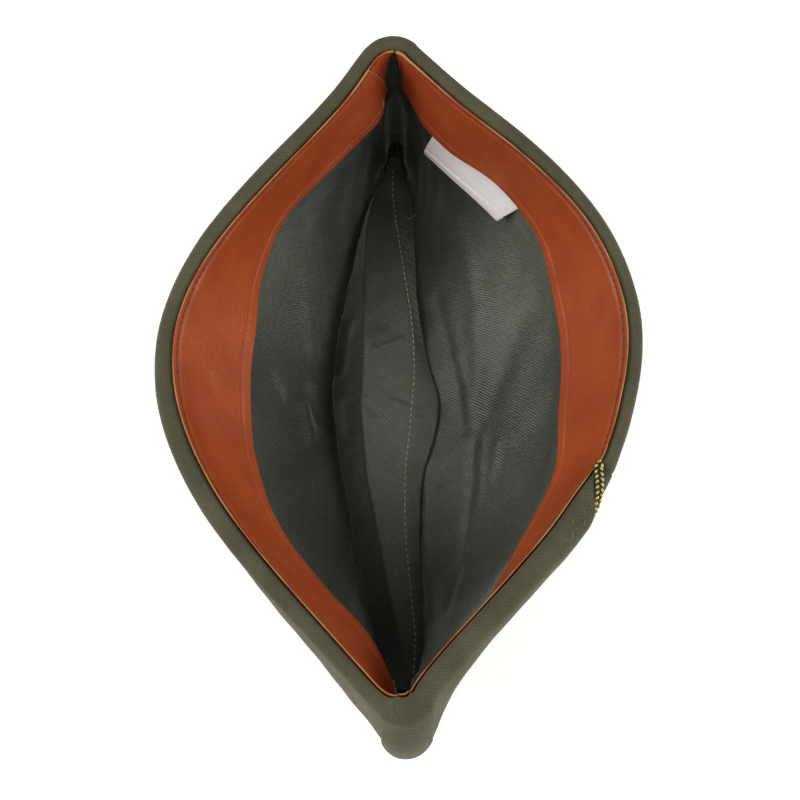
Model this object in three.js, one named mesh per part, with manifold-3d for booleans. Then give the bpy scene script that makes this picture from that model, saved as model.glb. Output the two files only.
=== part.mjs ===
// Side cap lying on its crown with the head opening up.
// Millimetres, +Z up, +Y to the back of the cap, +X to the wearer's right.
// The origin is under the middle of the cap, on the surface that it rests on.
import * as THREE from 'three';
import { mergeVertices } from 'three/addons/utils/BufferGeometryUtils.js';
import Module from 'manifold-3d';

const wasm = await Module();
wasm.setup();

// Cloth and leather thicknesses, and the clearance between layers
const WOOL = 1.5;
const CURTAIN = 1.7;
const LEATHER = 1.2;
const SATIN = 1.0;
const TAG = 0.9;
const GAP = 0.35;
const EASE = 0.55;
const SEAM = 0.2;

// Rim: the turn-up rolls over the crown's top edge and ends behind the sweatband
const ROLL_HOLLOW = 0.9;
const ROLL_CENTRE = ROLL_HOLLOW + GAP + CURTAIN;
const CROWN_EDGE = 4.4;
const ROLL_REACH = Math.PI * ROLL_CENTRE;
const ROLL_LEG = 3;
const ROLL_STEPS = 5;

// Share of each side's run from back to front that rounds a tip
const TIP_SHARE = 0.05;

// Belt lines of the crown's inner face, in plan. down: distance below the rim along the cloth,
// back and front: reach along Y, mid: Y of the widest point, half: half width there,
// tipBack and tipFront: radius of the ends, point: share of the flanks' straightness that is left.
const BELTS = [
  { down: 0, back: 121, front: 116, mid: 17, half: 83.5, tipBack: 8.5, tipFront: 6, point: 1 },
  { down: 25, back: 122, front: 122.5, mid: 16, half: 72, tipBack: 8, tipFront: 5.5, point: 0.65 },
  { down: 50, back: 122, front: 119, mid: 15, half: 60.5, tipBack: 8, tipFront: 5.5, point: 0.5 },
  { down: 75, back: 121, front: 110, mid: 13, half: 49, tipBack: 8, tipFront: 6.5, point: 0.4 },
  { down: 95, back: 117, front: 101, mid: 11, half: 38, tipBack: 8, tipFront: 7, point: 0.3 },
  { down: 106, back: 113, front: 93, mid: 10, half: 32, tipBack: 6, tipFront: 6, point: 0.3 },
  { down: 112, back: 110, front: 89, mid: 9, half: 28.5, tipBack: 4.5, tipFront: 4.5, point: 0.3 },
  { down: 117, back: 106, front: 85, mid: 9, half: 25, tipBack: 3.5, tipFront: 3.5, point: 0.3 },
];
// Heights of the same belt lines. middle, back and front: height at the widest point and at
// the tips, rise: how late the line climbs towards its tips.
const LEVELS = [
  { down: 0, middle: 96, back: 112, front: 112, rise: 2 },
  { down: 25, middle: 74, back: 88, front: 88, rise: 2 },
  { down: 50, middle: 52, back: 63, front: 62, rise: 2 },
  { down: 75, middle: 30, back: 38, front: 36, rise: 2 },
  { down: 95, middle: 11, back: 18, front: 17, rise: 2.5 },
  { down: 106, middle: 2.5, back: 9, front: 8, rise: 4 },
  { down: 112, middle: 1, back: 6, front: 5, rise: 4 },
  { down: 117, middle: 1, back: 4.5, front: 4, rise: 4 },
];
// Shift that puts the origin under the middle of the cap's length
const CENTRE_SHIFT = 1.3;
// How straight the flanks run into the tips, uneven as the worn cap lies
const FLANK = {
  right: { back: 0.2, front: 0.55 },
  left: { back: 0.48, front: 0.16 },
};
const PANEL_END = BELTS.at(-1).down;
const PANEL_ROWS = [CROWN_EDGE, 14, 25, 38, 50, 63, 75, 86, 95, 101, 106, 112, PANEL_END];

// Turn-up: the strip starts under the lap at the right front, runs round the back and the
// left side, and its end laps over its start. Runs below 0 are on the right side going back
// to the back tip at 0, runs from 0 to 1 go down the left side to the front tip at 1, and
// runs above 1 come back along the right side. height: distance from rim to free edge, and
// less than ROLL_CENTRE where the edge crosses the roll.
const CURTAIN_EDGE = [
  { run: -0.95, height: 50 },
  { run: -0.7, height: 59 },
  { run: -0.4, height: 64 },
  { run: 0, height: 60 },
  { run: 0.45, height: 64 },
  { run: 0.85, height: 60 },
  { run: 1, height: 57 },
  { run: 1.08, height: 54 },
  { run: 1.16, height: 46 },
  { run: 1.24, height: 32 },
  { run: 1.3, height: 17.5 },
  { run: 1.35, height: 4.5 },
  { run: 1.4, height: -5.9 },
];
const LAP_END = 1.4;
// Runs on the right side where the lap crosses the rim, and the middle of them
const LAP_STEPS = [0.595, 0.6, 0.61, 0.62, 0.63, 0.64, 0.66, 0.68];
const LAP_MIDDLE = 0.625;
// The start is cut back along the lap's edge as far as UNDER_CUT, and from there a plain piece
// of it, UNDER_TOP below the rim, runs on under the lap.
const UNDER_CUT = 0.8;
const UNDER_JOIN = 0.75;
const UNDER_END = 0.95;
const UNDER_TOP = 28;
const UNDER_INSET = 0.1;
// The lap lifts off the crown towards the front tip and comes flush again before the rim
const LAP_LIFT = CURTAIN + EASE + SEAM;
const LIFT_FROM = 0.85;
const LIFT_TO = 1;
const FLUSH_FROM = 1.2;
const FLUSH_TO = 1.3;
const EDGE_SHARES = [1, 0.8, 0.6, 0.4, 0.2];
const EDGE_LEAST = 0.8;

// Piping: a flat braid along the turn-up's free edge
const BRAID_HALF_WIDTH = 1.9;
const BRAID_HALF_DEPTH = 1.1;
const BRAID_SIDES = 8;
const BRAID_REACH = 7.4;
const BRAID_BEND = (WOOL + EASE + GAP) / 2 + CURTAIN + GAP + BRAID_HALF_DEPTH;

// Sweatband: a leather strip sewn at the rim, leaning in towards its lower edge.
// at: run from 0 to 2, from the back tip down the right side and back up the left,
// lean: how far the lower edge stands in from the wall.
const BAND_TOP = 0.5;
const BAND_WIDTH = 36;
const BAND_CURL = 1.3;
const BAND_SHARES = [0, 0.14, 0.36, 0.58, 0.8, 1];
const BAND_LEAN = [
  { at: 0, lean: 1 },
  { at: 0.12, lean: 5 },
  { at: 0.3, lean: 1 },
  { at: 0.5, lean: 8 },
  { at: 0.65, lean: 3 },
  { at: 0.82, lean: 1 },
  { at: 1, lean: 1 },
  { at: 1.12, lean: 8 },
  { at: 1.25, lean: 12.5 },
  { at: 1.37, lean: 6 },
  { at: 1.48, lean: 11 },
  { at: 1.7, lean: 2 },
  { at: 1.88, lean: 3 },
  { at: 2, lean: 1 },
];
const BAND_FROM = 0.025;
const BAND_TO = 1.975;

// Lining: follows the wall, and bags in between the sweatband and the lower fold.
const LINING_TOP = 8;
const LINING_END = 109;
const LINING_BAG = 2.5;
const LINING_BAG_FROM = 48;

// Top gusset and the lining's centre strip over it
const GUSSET_HEIGHT = 24;
const GUSSET_OVERLAP = 1.5;
const GUSSET_LIFT = 1.2;
const GUSSET_STEPS = 14;
const GUSSET_SECTION = [
  { across: -1, up: 0 },
  { across: -0.78, up: 0.42 },
  { across: -0.55, up: 0.92 },
  { across: -0.2, up: 0.98 },
  { across: 0.15, up: 1 },
  { across: 0.55, up: 0.86 },
  { across: 0.78, up: 0.4 },
  { across: 1, up: 0 },
];

// Label: a folded tag tucked behind the sweatband at the right back
const TAG_FROM = 0.2;
const TAG_TO = 0.33;
const TAG_ROWS = [30, 36, 42, 48];

// Cubic curve through the rows of a table, read at any value of its key column.
function follow(rows, key, column, at) {
  const last = rows.length - 1;
  let i = rows.findIndex((row) => row[key] > at) - 1;
  if (i === -2) i = last - 1;
  i = Math.max(0, Math.min(last - 1, i));
  const slope = (k) => {
    const a = rows[Math.max(0, k - 1)];
    const b = rows[Math.min(last, k + 1)];
    return (b[column] - a[column]) / (b[key] - a[key]);
  };
  const span = rows[i + 1][key] - rows[i][key];
  const t = (at - rows[i][key]) / span;
  const h = t * t * (3 - 2 * t);
  const bend = t * (1 - t) * span;
  return rows[i][column] * (1 - h) + rows[i + 1][column] * h
    + bend * ((1 - t) * slope(i) - t * slope(i + 1));
}

// Every column of a table, read at one value of its key column.
function readRow(rows, key, at) {
  const columns = Object.keys(rows[0]);
  return Object.fromEntries(columns.map((column) => [column, follow(rows, key, column, at)]));
}

// Plan angle round the cap and the share of the tip's round, for a run along one side.
function place(run) {
  const angle = Math.PI * THREE.MathUtils.clamp((run - TIP_SHARE) / (1 - 2 * TIP_SHARE), 0, 1);
  const turn = Math.min(1, run / TIP_SHARE, (1 - run) / TIP_SHARE);
  return { angle, turn };
}

// Point of the crown's inner face and its outward plan direction, mirrored to the right side.
function beltPoint(side, run, down) {
  const belt = readRow(BELTS, 'down', down);
  const level = readRow(LEVELS, 'down', down);
  const { angle, turn } = place(run);
  const atBack = angle < Math.PI / 2;
  const tip = atBack ? belt.tipBack : belt.tipFront;
  const reach = (atBack ? belt.back - belt.mid : belt.front + belt.mid) - tip;
  const half = belt.half - tip;
  const flanks = FLANK[side > 0 ? 'right' : 'left'];
  const point = belt.point * (atBack ? flanks.back : flanks.front);
  const sin2 = Math.sin(angle) ** 2;
  const cos = Math.cos(angle);
  const across = half * ((1 - point) * sin2 + point * sin2 * sin2);
  const lean = half * cos * (2 * (1 - point) + 4 * point * sin2);
  const flank = Math.atan2(lean, reach);
  const straight = (atBack ? 1 : -1) * Math.PI / 2;
  const facing = THREE.MathUtils.lerp(straight, flank, turn);
  const ends = atBack ? level.back : level.front;
  const spot = new THREE.Vector3(
    across + tip * Math.cos(facing) + SEAM,
    belt.mid + reach * cos + tip * Math.sin(facing) + CENTRE_SHIFT,
    level.middle + (ends - level.middle) * Math.abs(cos) ** level.rise,
  );
  return { spot, facing };
}

// Point at a distance below the rim and off the wall (outward positive), on either side.
function wall(side, run, down, off) {
  const { spot, facing } = beltPoint(side, run, down);
  const step = 0.5;
  const below = beltPoint(side, run, Math.min(PANEL_END, down + step)).spot;
  const above = beltPoint(side, run, down - step).spot;
  const along = new THREE.Vector3(-Math.sin(facing), Math.cos(facing), 0);
  const outward = below.sub(above).cross(along).normalize();
  spot.addScaledVector(outward, off);
  spot.z = Math.max(0, spot.z);
  spot.x *= side;
  return spot;
}

// Stations along one side, from the back tip to the front tip.
function stations(from, to) {
  const runs = [0, TIP_SHARE / 2];
  for (let run = TIP_SHARE; run < 1 - TIP_SHARE / 2; run += TIP_SHARE) runs.push(run);
  runs.push(1 - TIP_SHARE / 2, 1, TAG_TO, LAP_MIDDLE);
  const kept = runs.map((run) => Number(run.toFixed(4))).filter((run) => run >= from && run <= to);
  return [...new Set(kept)].sort((a, b) => a - b);
}

// Closed solid between two grids of points with the same rows and columns.
function sheetSolid(outer, inner) {
  const rows = outer.length;
  const columns = outer[0].length;
  const points = [...outer.flat(), ...inner.flat()];
  const back = rows * columns;
  const at = (i, j) => i * columns + j;
  const index = [];
  const quad = (a, b, c, d) => index.push(a, b, c, a, c, d);
  for (let i = 0; i < rows - 1; i += 1) {
    for (let j = 0; j < columns - 1; j += 1) {
      const [a, b, c, d] = [at(i, j), at(i + 1, j), at(i + 1, j + 1), at(i, j + 1)];
      quad(a, b, c, d);
      quad(back + a, back + d, back + c, back + b);
    }
    quad(at(i + 1, 0), at(i, 0), back + at(i, 0), back + at(i + 1, 0));
    const end = columns - 1;
    quad(at(i, end), at(i + 1, end), back + at(i + 1, end), back + at(i, end));
  }
  for (let j = 0; j < columns - 1; j += 1) {
    quad(at(0, j), at(0, j + 1), back + at(0, j + 1), back + at(0, j));
    const end = rows - 1;
    quad(at(end, j + 1), at(end, j), back + at(end, j), back + at(end, j + 1));
  }
  return facingOut(points, index);
}

// Closed solid round a row of section loops, with a fan over each end.
function cordSolid(loops) {
  const sides = loops[0].length;
  const points = loops.flat();
  const index = [];
  for (let i = 0; i < loops.length - 1; i += 1) {
    for (let k = 0; k < sides; k += 1) {
      const next = (k + 1) % sides;
      const a = i * sides;
      const b = a + sides;
      index.push(a + k, b + k, b + next, a + k, b + next, a + next);
    }
  }
  const last = (loops.length - 1) * sides;
  for (let k = 1; k < sides - 1; k += 1) {
    index.push(0, k, k + 1, last, last + k + 1, last + k);
  }
  return facingOut(points, index);
}

// Indexed geometry whose faces point out of the body.
function facingOut(points, index) {
  let volume = 0;
  for (let i = 0; i < index.length; i += 3) {
    const [a, b, c] = [points[index[i]], points[index[i + 1]], points[index[i + 2]]];
    volume += a.dot(b.clone().cross(c));
  }
  const turned = volume < 0 ? [...index].reverse() : index;
  const geometry = new THREE.BufferGeometry().setFromPoints(points);
  geometry.setIndex(turned);
  geometry.computeVertexNormals();
  return geometry;
}

// One body from two overlapping ones.
function joined(first, second) {
  const solid = (geometry) => {
    const bare = geometry.clone();
    bare.deleteAttribute('normal');
    const merged = mergeVertices(bare, 1e-4);
    return new wasm.Manifold(new wasm.Mesh({
      numProp: 3,
      vertProperties: new Float32Array(merged.attributes.position.array),
      triVerts: new Uint32Array(merged.index.array),
    }));
  };
  const mesh = solid(first).add(solid(second)).getMesh();
  const geometry = new THREE.BufferGeometry();
  geometry.setAttribute('position', new THREE.BufferAttribute(mesh.vertProperties, 3));
  geometry.setIndex(new THREE.BufferAttribute(mesh.triVerts, 1));
  geometry.computeVertexNormals();
  return geometry;
}

// Side panel of the crown, from under the turn-up's roll to the fold beside the gusset.
function crownPanel(side) {
  const runs = stations(0, 1);
  const face = (off) => runs.map((run) => PANEL_ROWS.map((down) => wall(side, run, down, off)));
  return sheetSolid(face(WOOL), face(0));
}

// Side and run along it, for a run along the whole turn-up.
function curtainPlace(run) {
  if (run < 0) return { side: 1, run: -run };
  return run <= 1 ? { side: -1, run } : { side: 1, run: 2 - run };
}

// Share of the lift that the lap has gained on its way to the front tip.
function lapShare(run) {
  return THREE.MathUtils.smoothstep(run, LIFT_FROM, LIFT_TO);
}

// How far the lapping end stands off the layer under it.
function lapLift(run) {
  return LAP_LIFT * lapShare(run) * (1 - THREE.MathUtils.smoothstep(run, FLUSH_FROM, FLUSH_TO));
}

// Distance past the roll's start, up the strip, of the turn-up's free edge.
function edgeReach(run) {
  return ROLL_CENTRE - follow(CURTAIN_EDGE, 'run', 'height', run);
}

// Place on the turn-up at a distance past the roll's start, as below the rim and off the wall;
// share 0 is the inside face and 1 the outside.
function curtainSpot(run, share, past) {
  const outside = WOOL + EASE + lapLift(run);
  const middle = (outside - GAP) / 2;
  const across = (outside + GAP) / 2 + share * CURTAIN;
  const roll = ROLL_HOLLOW + GAP + share * CURTAIN;
  const angle = THREE.MathUtils.clamp(past, 0, ROLL_REACH) / ROLL_CENTRE;
  const beyond = Math.max(0, -past, past - ROLL_REACH);
  return { down: ROLL_CENTRE + beyond - roll * Math.sin(angle), off: middle + across * Math.cos(angle) };
}

// Section of the turn-up between two distances past the roll's start.
function curtainSection(run, share, from, to) {
  const start = Math.max(from + EDGE_LEAST, Math.min(0, to - 2 * EDGE_LEAST));
  const end = Math.max(start + EDGE_LEAST, Math.min(ROLL_REACH, to - EDGE_LEAST));
  const leg = EDGE_SHARES.map((part) => THREE.MathUtils.lerp(start, from, part));
  const steps = Array.from({ length: ROLL_STEPS + 1 }, (_, step) => step / ROLL_STEPS);
  const roll = steps.map((part) => THREE.MathUtils.lerp(start, end, part));
  return [...leg, ...roll, to].map((past) => curtainSpot(run, share, past));
}

// Runs along the whole turn-up that fall on the stations of both sides.
function curtainRuns(from, to) {
  const left = stations(0, 1);
  const right = [...left, ...LAP_STEPS];
  const all = [...right.map((run) => -run), ...left, ...right.map((run) => 2 - run)];
  const kept = all.map((run) => Number(run.toFixed(4))).filter((run) => run >= from && run <= to);
  return [...new Set(kept)].sort((a, b) => a - b);
}

// Turn-up: the rolled strip, joined to its plain start that lies under the lap.
function curtain() {
  const whole = ROLL_REACH + ROLL_LEG;
  const face = (share) => curtainRuns(-UNDER_CUT, LAP_END).map((run) => {
    const { side, run: along } = curtainPlace(run);
    const to = 2 + run <= LAP_END ? edgeReach(2 + run) - GAP : whole;
    const section = curtainSection(run, share, edgeReach(run), to);
    return section.map(({ down, off }) => wall(side, along, down, off));
  });
  const strip = sheetSolid(face(1), face(0));
  const under = (off) => curtainRuns(-UNDER_END, -UNDER_JOIN).map((run) => {
    const bottom = ROLL_CENTRE - edgeReach(run) - UNDER_INSET;
    const cut = ROLL_CENTRE - edgeReach(2 + run) + GAP + UNDER_INSET;
    const top = run < -UNDER_CUT ? UNDER_TOP : cut;
    const rows = EDGE_SHARES.map((part) => THREE.MathUtils.lerp(top, bottom, part));
    return [...rows, top].map((down) => wall(1, -run, down, off));
  });
  const low = WOOL + EASE + UNDER_INSET;
  const high = WOOL + EASE + CURTAIN - UNDER_INSET;
  return joined(strip, sheetSolid(under(high), under(low)));
}

// Loop of the braid's oval section round a centre at an arc past the roll's start.
function braidLoop(run, over, lift) {
  const { side, run: along } = curtainPlace(run);
  const middle = (WOOL + EASE - GAP) / 2;
  return Array.from({ length: BRAID_SIDES }, (_, k) => {
    const turn = (2 * Math.PI * (k + 0.5)) / BRAID_SIDES;
    const arc = over + BRAID_HALF_WIDTH * Math.cos(turn);
    const radius = BRAID_BEND + lift + BRAID_HALF_DEPTH * Math.sin(turn);
    const angle = Math.max(0, arc) / BRAID_BEND;
    const down = ROLL_CENTRE - Math.min(0, arc) - radius * Math.sin(angle);
    return wall(side, along, down, middle + radius * Math.cos(angle));
  });
}

// Piping: an oval cord that follows the turn-up's free edge and climbs the rim at the lap.
function piping() {
  return cordSolid(curtainRuns(-UNDER_END, LAP_END).map((run) => {
    const reach = edgeReach(run);
    const past = Math.min(0, reach) + Math.max(0, reach) * (BRAID_BEND / ROLL_CENTRE);
    const over = Math.min(BRAID_REACH, past - GAP - BRAID_HALF_WIDTH);
    return braidLoop(run, over, (lapShare(run) - 1) * (CURTAIN + GAP));
  }));
}

// Side and run along it, for a run round the sweatband.
function bandPlace(at) {
  return at <= 1 ? { side: 1, run: at } : { side: -1, run: 2 - at };
}

// How far the back of the sweatband stands in from the wall.
function bandOff(at, down) {
  const lean = follow(BAND_LEAN, 'at', 'lean', at);
  return -(2 * GAP + CURTAIN) - lean * (down / BAND_WIDTH) ** BAND_CURL;
}

// Sweatband: one leather strip with its ends apart at the back.
function sweatband() {
  const right = stations(0, 1);
  const runs = [...new Set([...right, ...right.map((run) => 2 - run)])];
  const kept = runs.filter((at) => at >= BAND_FROM && at <= BAND_TO).sort((a, b) => a - b);
  const face = (deep) => kept.map((at) => {
    const { side, run } = bandPlace(at);
    return BAND_SHARES.map((share) => {
      const down = BAND_TOP + share * BAND_WIDTH;
      return wall(side, run, down, bandOff(at, down) - deep);
    });
  });
  return sheetSolid(face(0), face(LEATHER));
}

// Side panel of the lining, bagging in between the sweatband and the lower fold.
function liningPanel(side) {
  const rows = [LINING_TOP, ...PANEL_ROWS.slice(1, -2), LINING_END];
  const runs = stations(0, 1);
  const bag = (run, down) => {
    const share = Math.max(0, down - LINING_BAG_FROM) / (PANEL_END - LINING_BAG_FROM);
    return LINING_BAG * Math.sin(Math.PI * share) * Math.sin(Math.PI * run) ** 2;
  };
  const face = (deep) => runs.map((run) => rows.map((down) => {
    return wall(side, run, down, -GAP - deep - bag(run, down));
  }));
  return sheetSolid(face(0), face(SATIN));
}

// Leaf-shaped sheet between the lower folds, raised along its middle.
// low and high: its faces above the gusset's own surface.
function gussetSheet(low, high) {
  const surface = (step, { across, up }) => {
    const share = step / GUSSET_STEPS;
    const angle = Math.PI * share;
    const edge = wall(Math.sign(across), TIP_SHARE + (1 - 2 * TIP_SHARE) * share, PANEL_END, 0);
    const rise = GUSSET_HEIGHT * Math.sin(angle) ** 2;
    return new THREE.Vector3(
      (Math.abs(edge.x) + GUSSET_OVERLAP) * across,
      edge.y + GUSSET_OVERLAP * Math.cos(angle),
      edge.z + GAP + WOOL + GUSSET_LIFT + rise * up,
    );
  };
  const steps = Array.from({ length: GUSSET_STEPS + 1 }, (_, step) => step);
  const grid = steps.map((step) => GUSSET_SECTION.map((row) => surface(step, row)));
  const face = (lift) => grid.map((row, i) => row.map((point, j) => {
    const before = grid[Math.max(0, i - 1)][j];
    const after = grid[Math.min(GUSSET_STEPS, i + 1)][j];
    const left = row[Math.max(0, j - 1)];
    const right = row[Math.min(row.length - 1, j + 1)];
    const up = right.clone().sub(left).cross(before.clone().sub(after)).normalize();
    const moved = point.clone().addScaledVector(up, lift);
    moved.z = Math.max(0, moved.z);
    return moved;
  }));
  return sheetSolid(face(high), face(low));
}

// Label: a folded tag that lies behind the sweatband and shows below its edge.
function label() {
  const runs = stations(TAG_FROM, TAG_TO);
  const face = (out) => runs.map((run) => TAG_ROWS.map((down) => {
    return wall(1, run, down, bandOff(run, down) + GAP + out);
  }));
  return sheetSolid(face(TAG), face(0));
}

// Finishes, by their colours in daylight
const FINISH = {
  wool: { color: 0x4c4b3c, roughness: 0.95, metalness: 0 },
  leather: { color: 0x8c3f20, roughness: 0.55, metalness: 0 },
  satin: { color: 0x3c413c, roughness: 0.4, metalness: 0 },
  braid: { color: 0xb99a45, roughness: 0.45, metalness: 0.3 },
  tag: { color: 0xeceae4, roughness: 0.8, metalness: 0 },
};

const PIECES = [
  { name: 'crown_left', finish: 'wool', geometry: crownPanel(-1) },
  { name: 'crown_right', finish: 'wool', geometry: crownPanel(1) },
  { name: 'crown_top', finish: 'wool', geometry: gussetSheet(-WOOL, 0) },
  { name: 'curtain', finish: 'wool', geometry: curtain() },
  { name: 'piping', finish: 'braid', geometry: piping() },
  { name: 'sweatband', finish: 'leather', geometry: sweatband() },
  { name: 'lining_left', finish: 'satin', geometry: liningPanel(-1) },
  { name: 'lining_right', finish: 'satin', geometry: liningPanel(1) },
  { name: 'lining_strip', finish: 'satin', geometry: gussetSheet(EASE, EASE + SATIN) },
  { name: 'label', finish: 'tag', geometry: label() },
];

const cap = new THREE.Group();
for (const { name, finish, geometry } of PIECES) {
  const mesh = new THREE.Mesh(geometry, new THREE.MeshStandardMaterial(FINISH[finish]));
  mesh.name = name;
  cap.add(mesh);
}

export default cap;
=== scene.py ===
"""Dressed model of a wool side cap that lies on its crown with the head opening up.

Lengths are millimetres until a mesh is made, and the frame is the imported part's own:
+Z up through the opening, +Y to the back of the cap and +X to the wearer's right.
"""

import logging
import math
from dataclasses import dataclass, field
from enum import Enum

import bpy
import numpy as np
from mathutils import Matrix, Vector


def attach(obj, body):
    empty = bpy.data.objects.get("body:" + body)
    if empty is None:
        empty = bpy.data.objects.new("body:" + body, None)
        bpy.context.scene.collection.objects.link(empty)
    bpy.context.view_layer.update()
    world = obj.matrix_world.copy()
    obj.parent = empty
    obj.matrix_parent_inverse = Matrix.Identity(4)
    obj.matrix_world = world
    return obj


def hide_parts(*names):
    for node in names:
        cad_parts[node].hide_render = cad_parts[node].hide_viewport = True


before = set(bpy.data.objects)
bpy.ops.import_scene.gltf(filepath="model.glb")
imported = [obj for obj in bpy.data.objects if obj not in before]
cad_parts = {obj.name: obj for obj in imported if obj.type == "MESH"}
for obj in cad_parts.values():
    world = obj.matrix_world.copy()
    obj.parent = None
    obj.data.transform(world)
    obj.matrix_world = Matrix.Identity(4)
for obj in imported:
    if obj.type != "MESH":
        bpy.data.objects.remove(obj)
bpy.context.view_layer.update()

LOG = logging.getLogger("side_cap")
METRES = 0.001
MAP_NAME = "Cloth"
SHARP = math.radians(55)
ROUND_LENGTH = 300.0

Array = np.ndarray
Faces = list[list[int]]
Colour = tuple[float, float, float, float]
Piece = bpy.types.Object
Material = bpy.types.Material
Socket = bpy.types.NodeSocket
Outputs = bpy.types.NodeOutputs


class Slot(Enum):
    """Material slots that the record names."""

    WOOL = "wool"
    BRAID = "braid"
    LEATHER = "leather"
    SATIN = "satin"
    TAG = "tag"


class Hold(Enum):
    """Ways in which a sheet of the cap is held."""

    STRETCHED = "stretched"
    FOLDED = "folded"
    HUNG = "hung"


class Side(Enum):
    """Sides of the cap, by the sign of X on the wearer."""

    RIGHT = 1
    LEFT = -1


def ease(value: Array, low: float, high: float) -> Array:
    """Return a smooth step, 0 up to low and 1 from high on."""
    share = np.clip((value - low) / (high - low), 0, 1)
    return share * share * (3 - 2 * share)


def hump(value: Array, centre: float, width: float) -> Array:
    """Return a soft hump of height 1 about a centre."""
    return np.exp(-(((value - centre) / width) ** 2))


def unevenness(along: Array, across: Array, phase: float) -> Array:
    """Return the gentle waves of hand-pressed cloth, about -1 to 1.

    Args:
        along: Lengths along the cloth.
        across: Lengths across the cloth.
        phase: Start of the waves, so that no two pieces share them.

    Returns:
        Height of the waves at each point.
    """
    long_wave = np.sin(along * 0.083 + phase) * np.sin(across * 0.067 + 1.7 * phase)
    slant = np.sin(along * 0.19 + across * 0.11 + 2.3 * phase)
    short = np.sin(along * 0.41 - across * 0.23 + 3.1 * phase)
    return 0.55 * long_wave + 0.3 * slant + 0.15 * short


def unit(vectors: Array) -> Array:
    """Return vectors scaled to length 1."""
    return vectors / np.maximum(np.linalg.norm(vectors, axis=-1, keepdims=True), 1e-9)


def lengths_along(points: Array) -> Array:
    """Return the length run along a line of points, from 0 at its first."""
    steps = np.linalg.norm(np.diff(points, axis=0), axis=-1)
    return np.concatenate([[0.0], np.cumsum(steps)])


class Table:
    """Short table of sizes, read between its rows on a smooth curve."""

    def __init__(self, columns: str, *rows: tuple[float, ...]) -> None:
        """Keep the rows and the slope of each column at each row.

        Args:
            columns: Names of the columns, the first of which the table is read by.
            rows: One row of numbers for each step.
        """
        self.columns = {name: index for index, name in enumerate(columns.split())}
        self.rows = np.array(rows, float)
        self.keys = self.rows[:, 0]
        before = np.maximum(np.arange(len(rows)) - 1, 0)
        after = np.minimum(np.arange(len(rows)) + 1, len(rows) - 1)
        self.slopes = (self.rows[after] - self.rows[before]) / (self.keys[after] - self.keys[before])[:, None]

    def read(self, column: str, at: Array) -> Array:
        """Read one column.

        Args:
            column: Name of the column.
            at: Places along the first column.

        Returns:
            The column's value at each place.
        """
        at = np.asarray(at, float)
        index = np.clip(np.searchsorted(self.keys, at, side="right") - 1, 0, len(self.keys) - 2)
        span = self.keys[index + 1] - self.keys[index]
        share = (at - self.keys[index]) / span
        turn = share * share * (3 - 2 * share)
        which = self.columns[column]
        low, high = self.rows[index, which], self.rows[index + 1, which]
        bend = (1 - share) * self.slopes[index, which] - share * self.slopes[index + 1, which]
        return low * (1 - turn) + high * turn + share * (1 - share) * span * bend


@dataclass(frozen=True)
class Layers:
    """Thicknesses of the cap's layers and the gaps between them."""

    wool: float = 1.5
    turn_up: float = 1.7
    leather: float = 1.2
    satin: float = 1.0
    tag: float = 0.9
    gap: float = 0.35
    ease: float = 0.55
    seam: float = 0.2


LAYERS = Layers()


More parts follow.
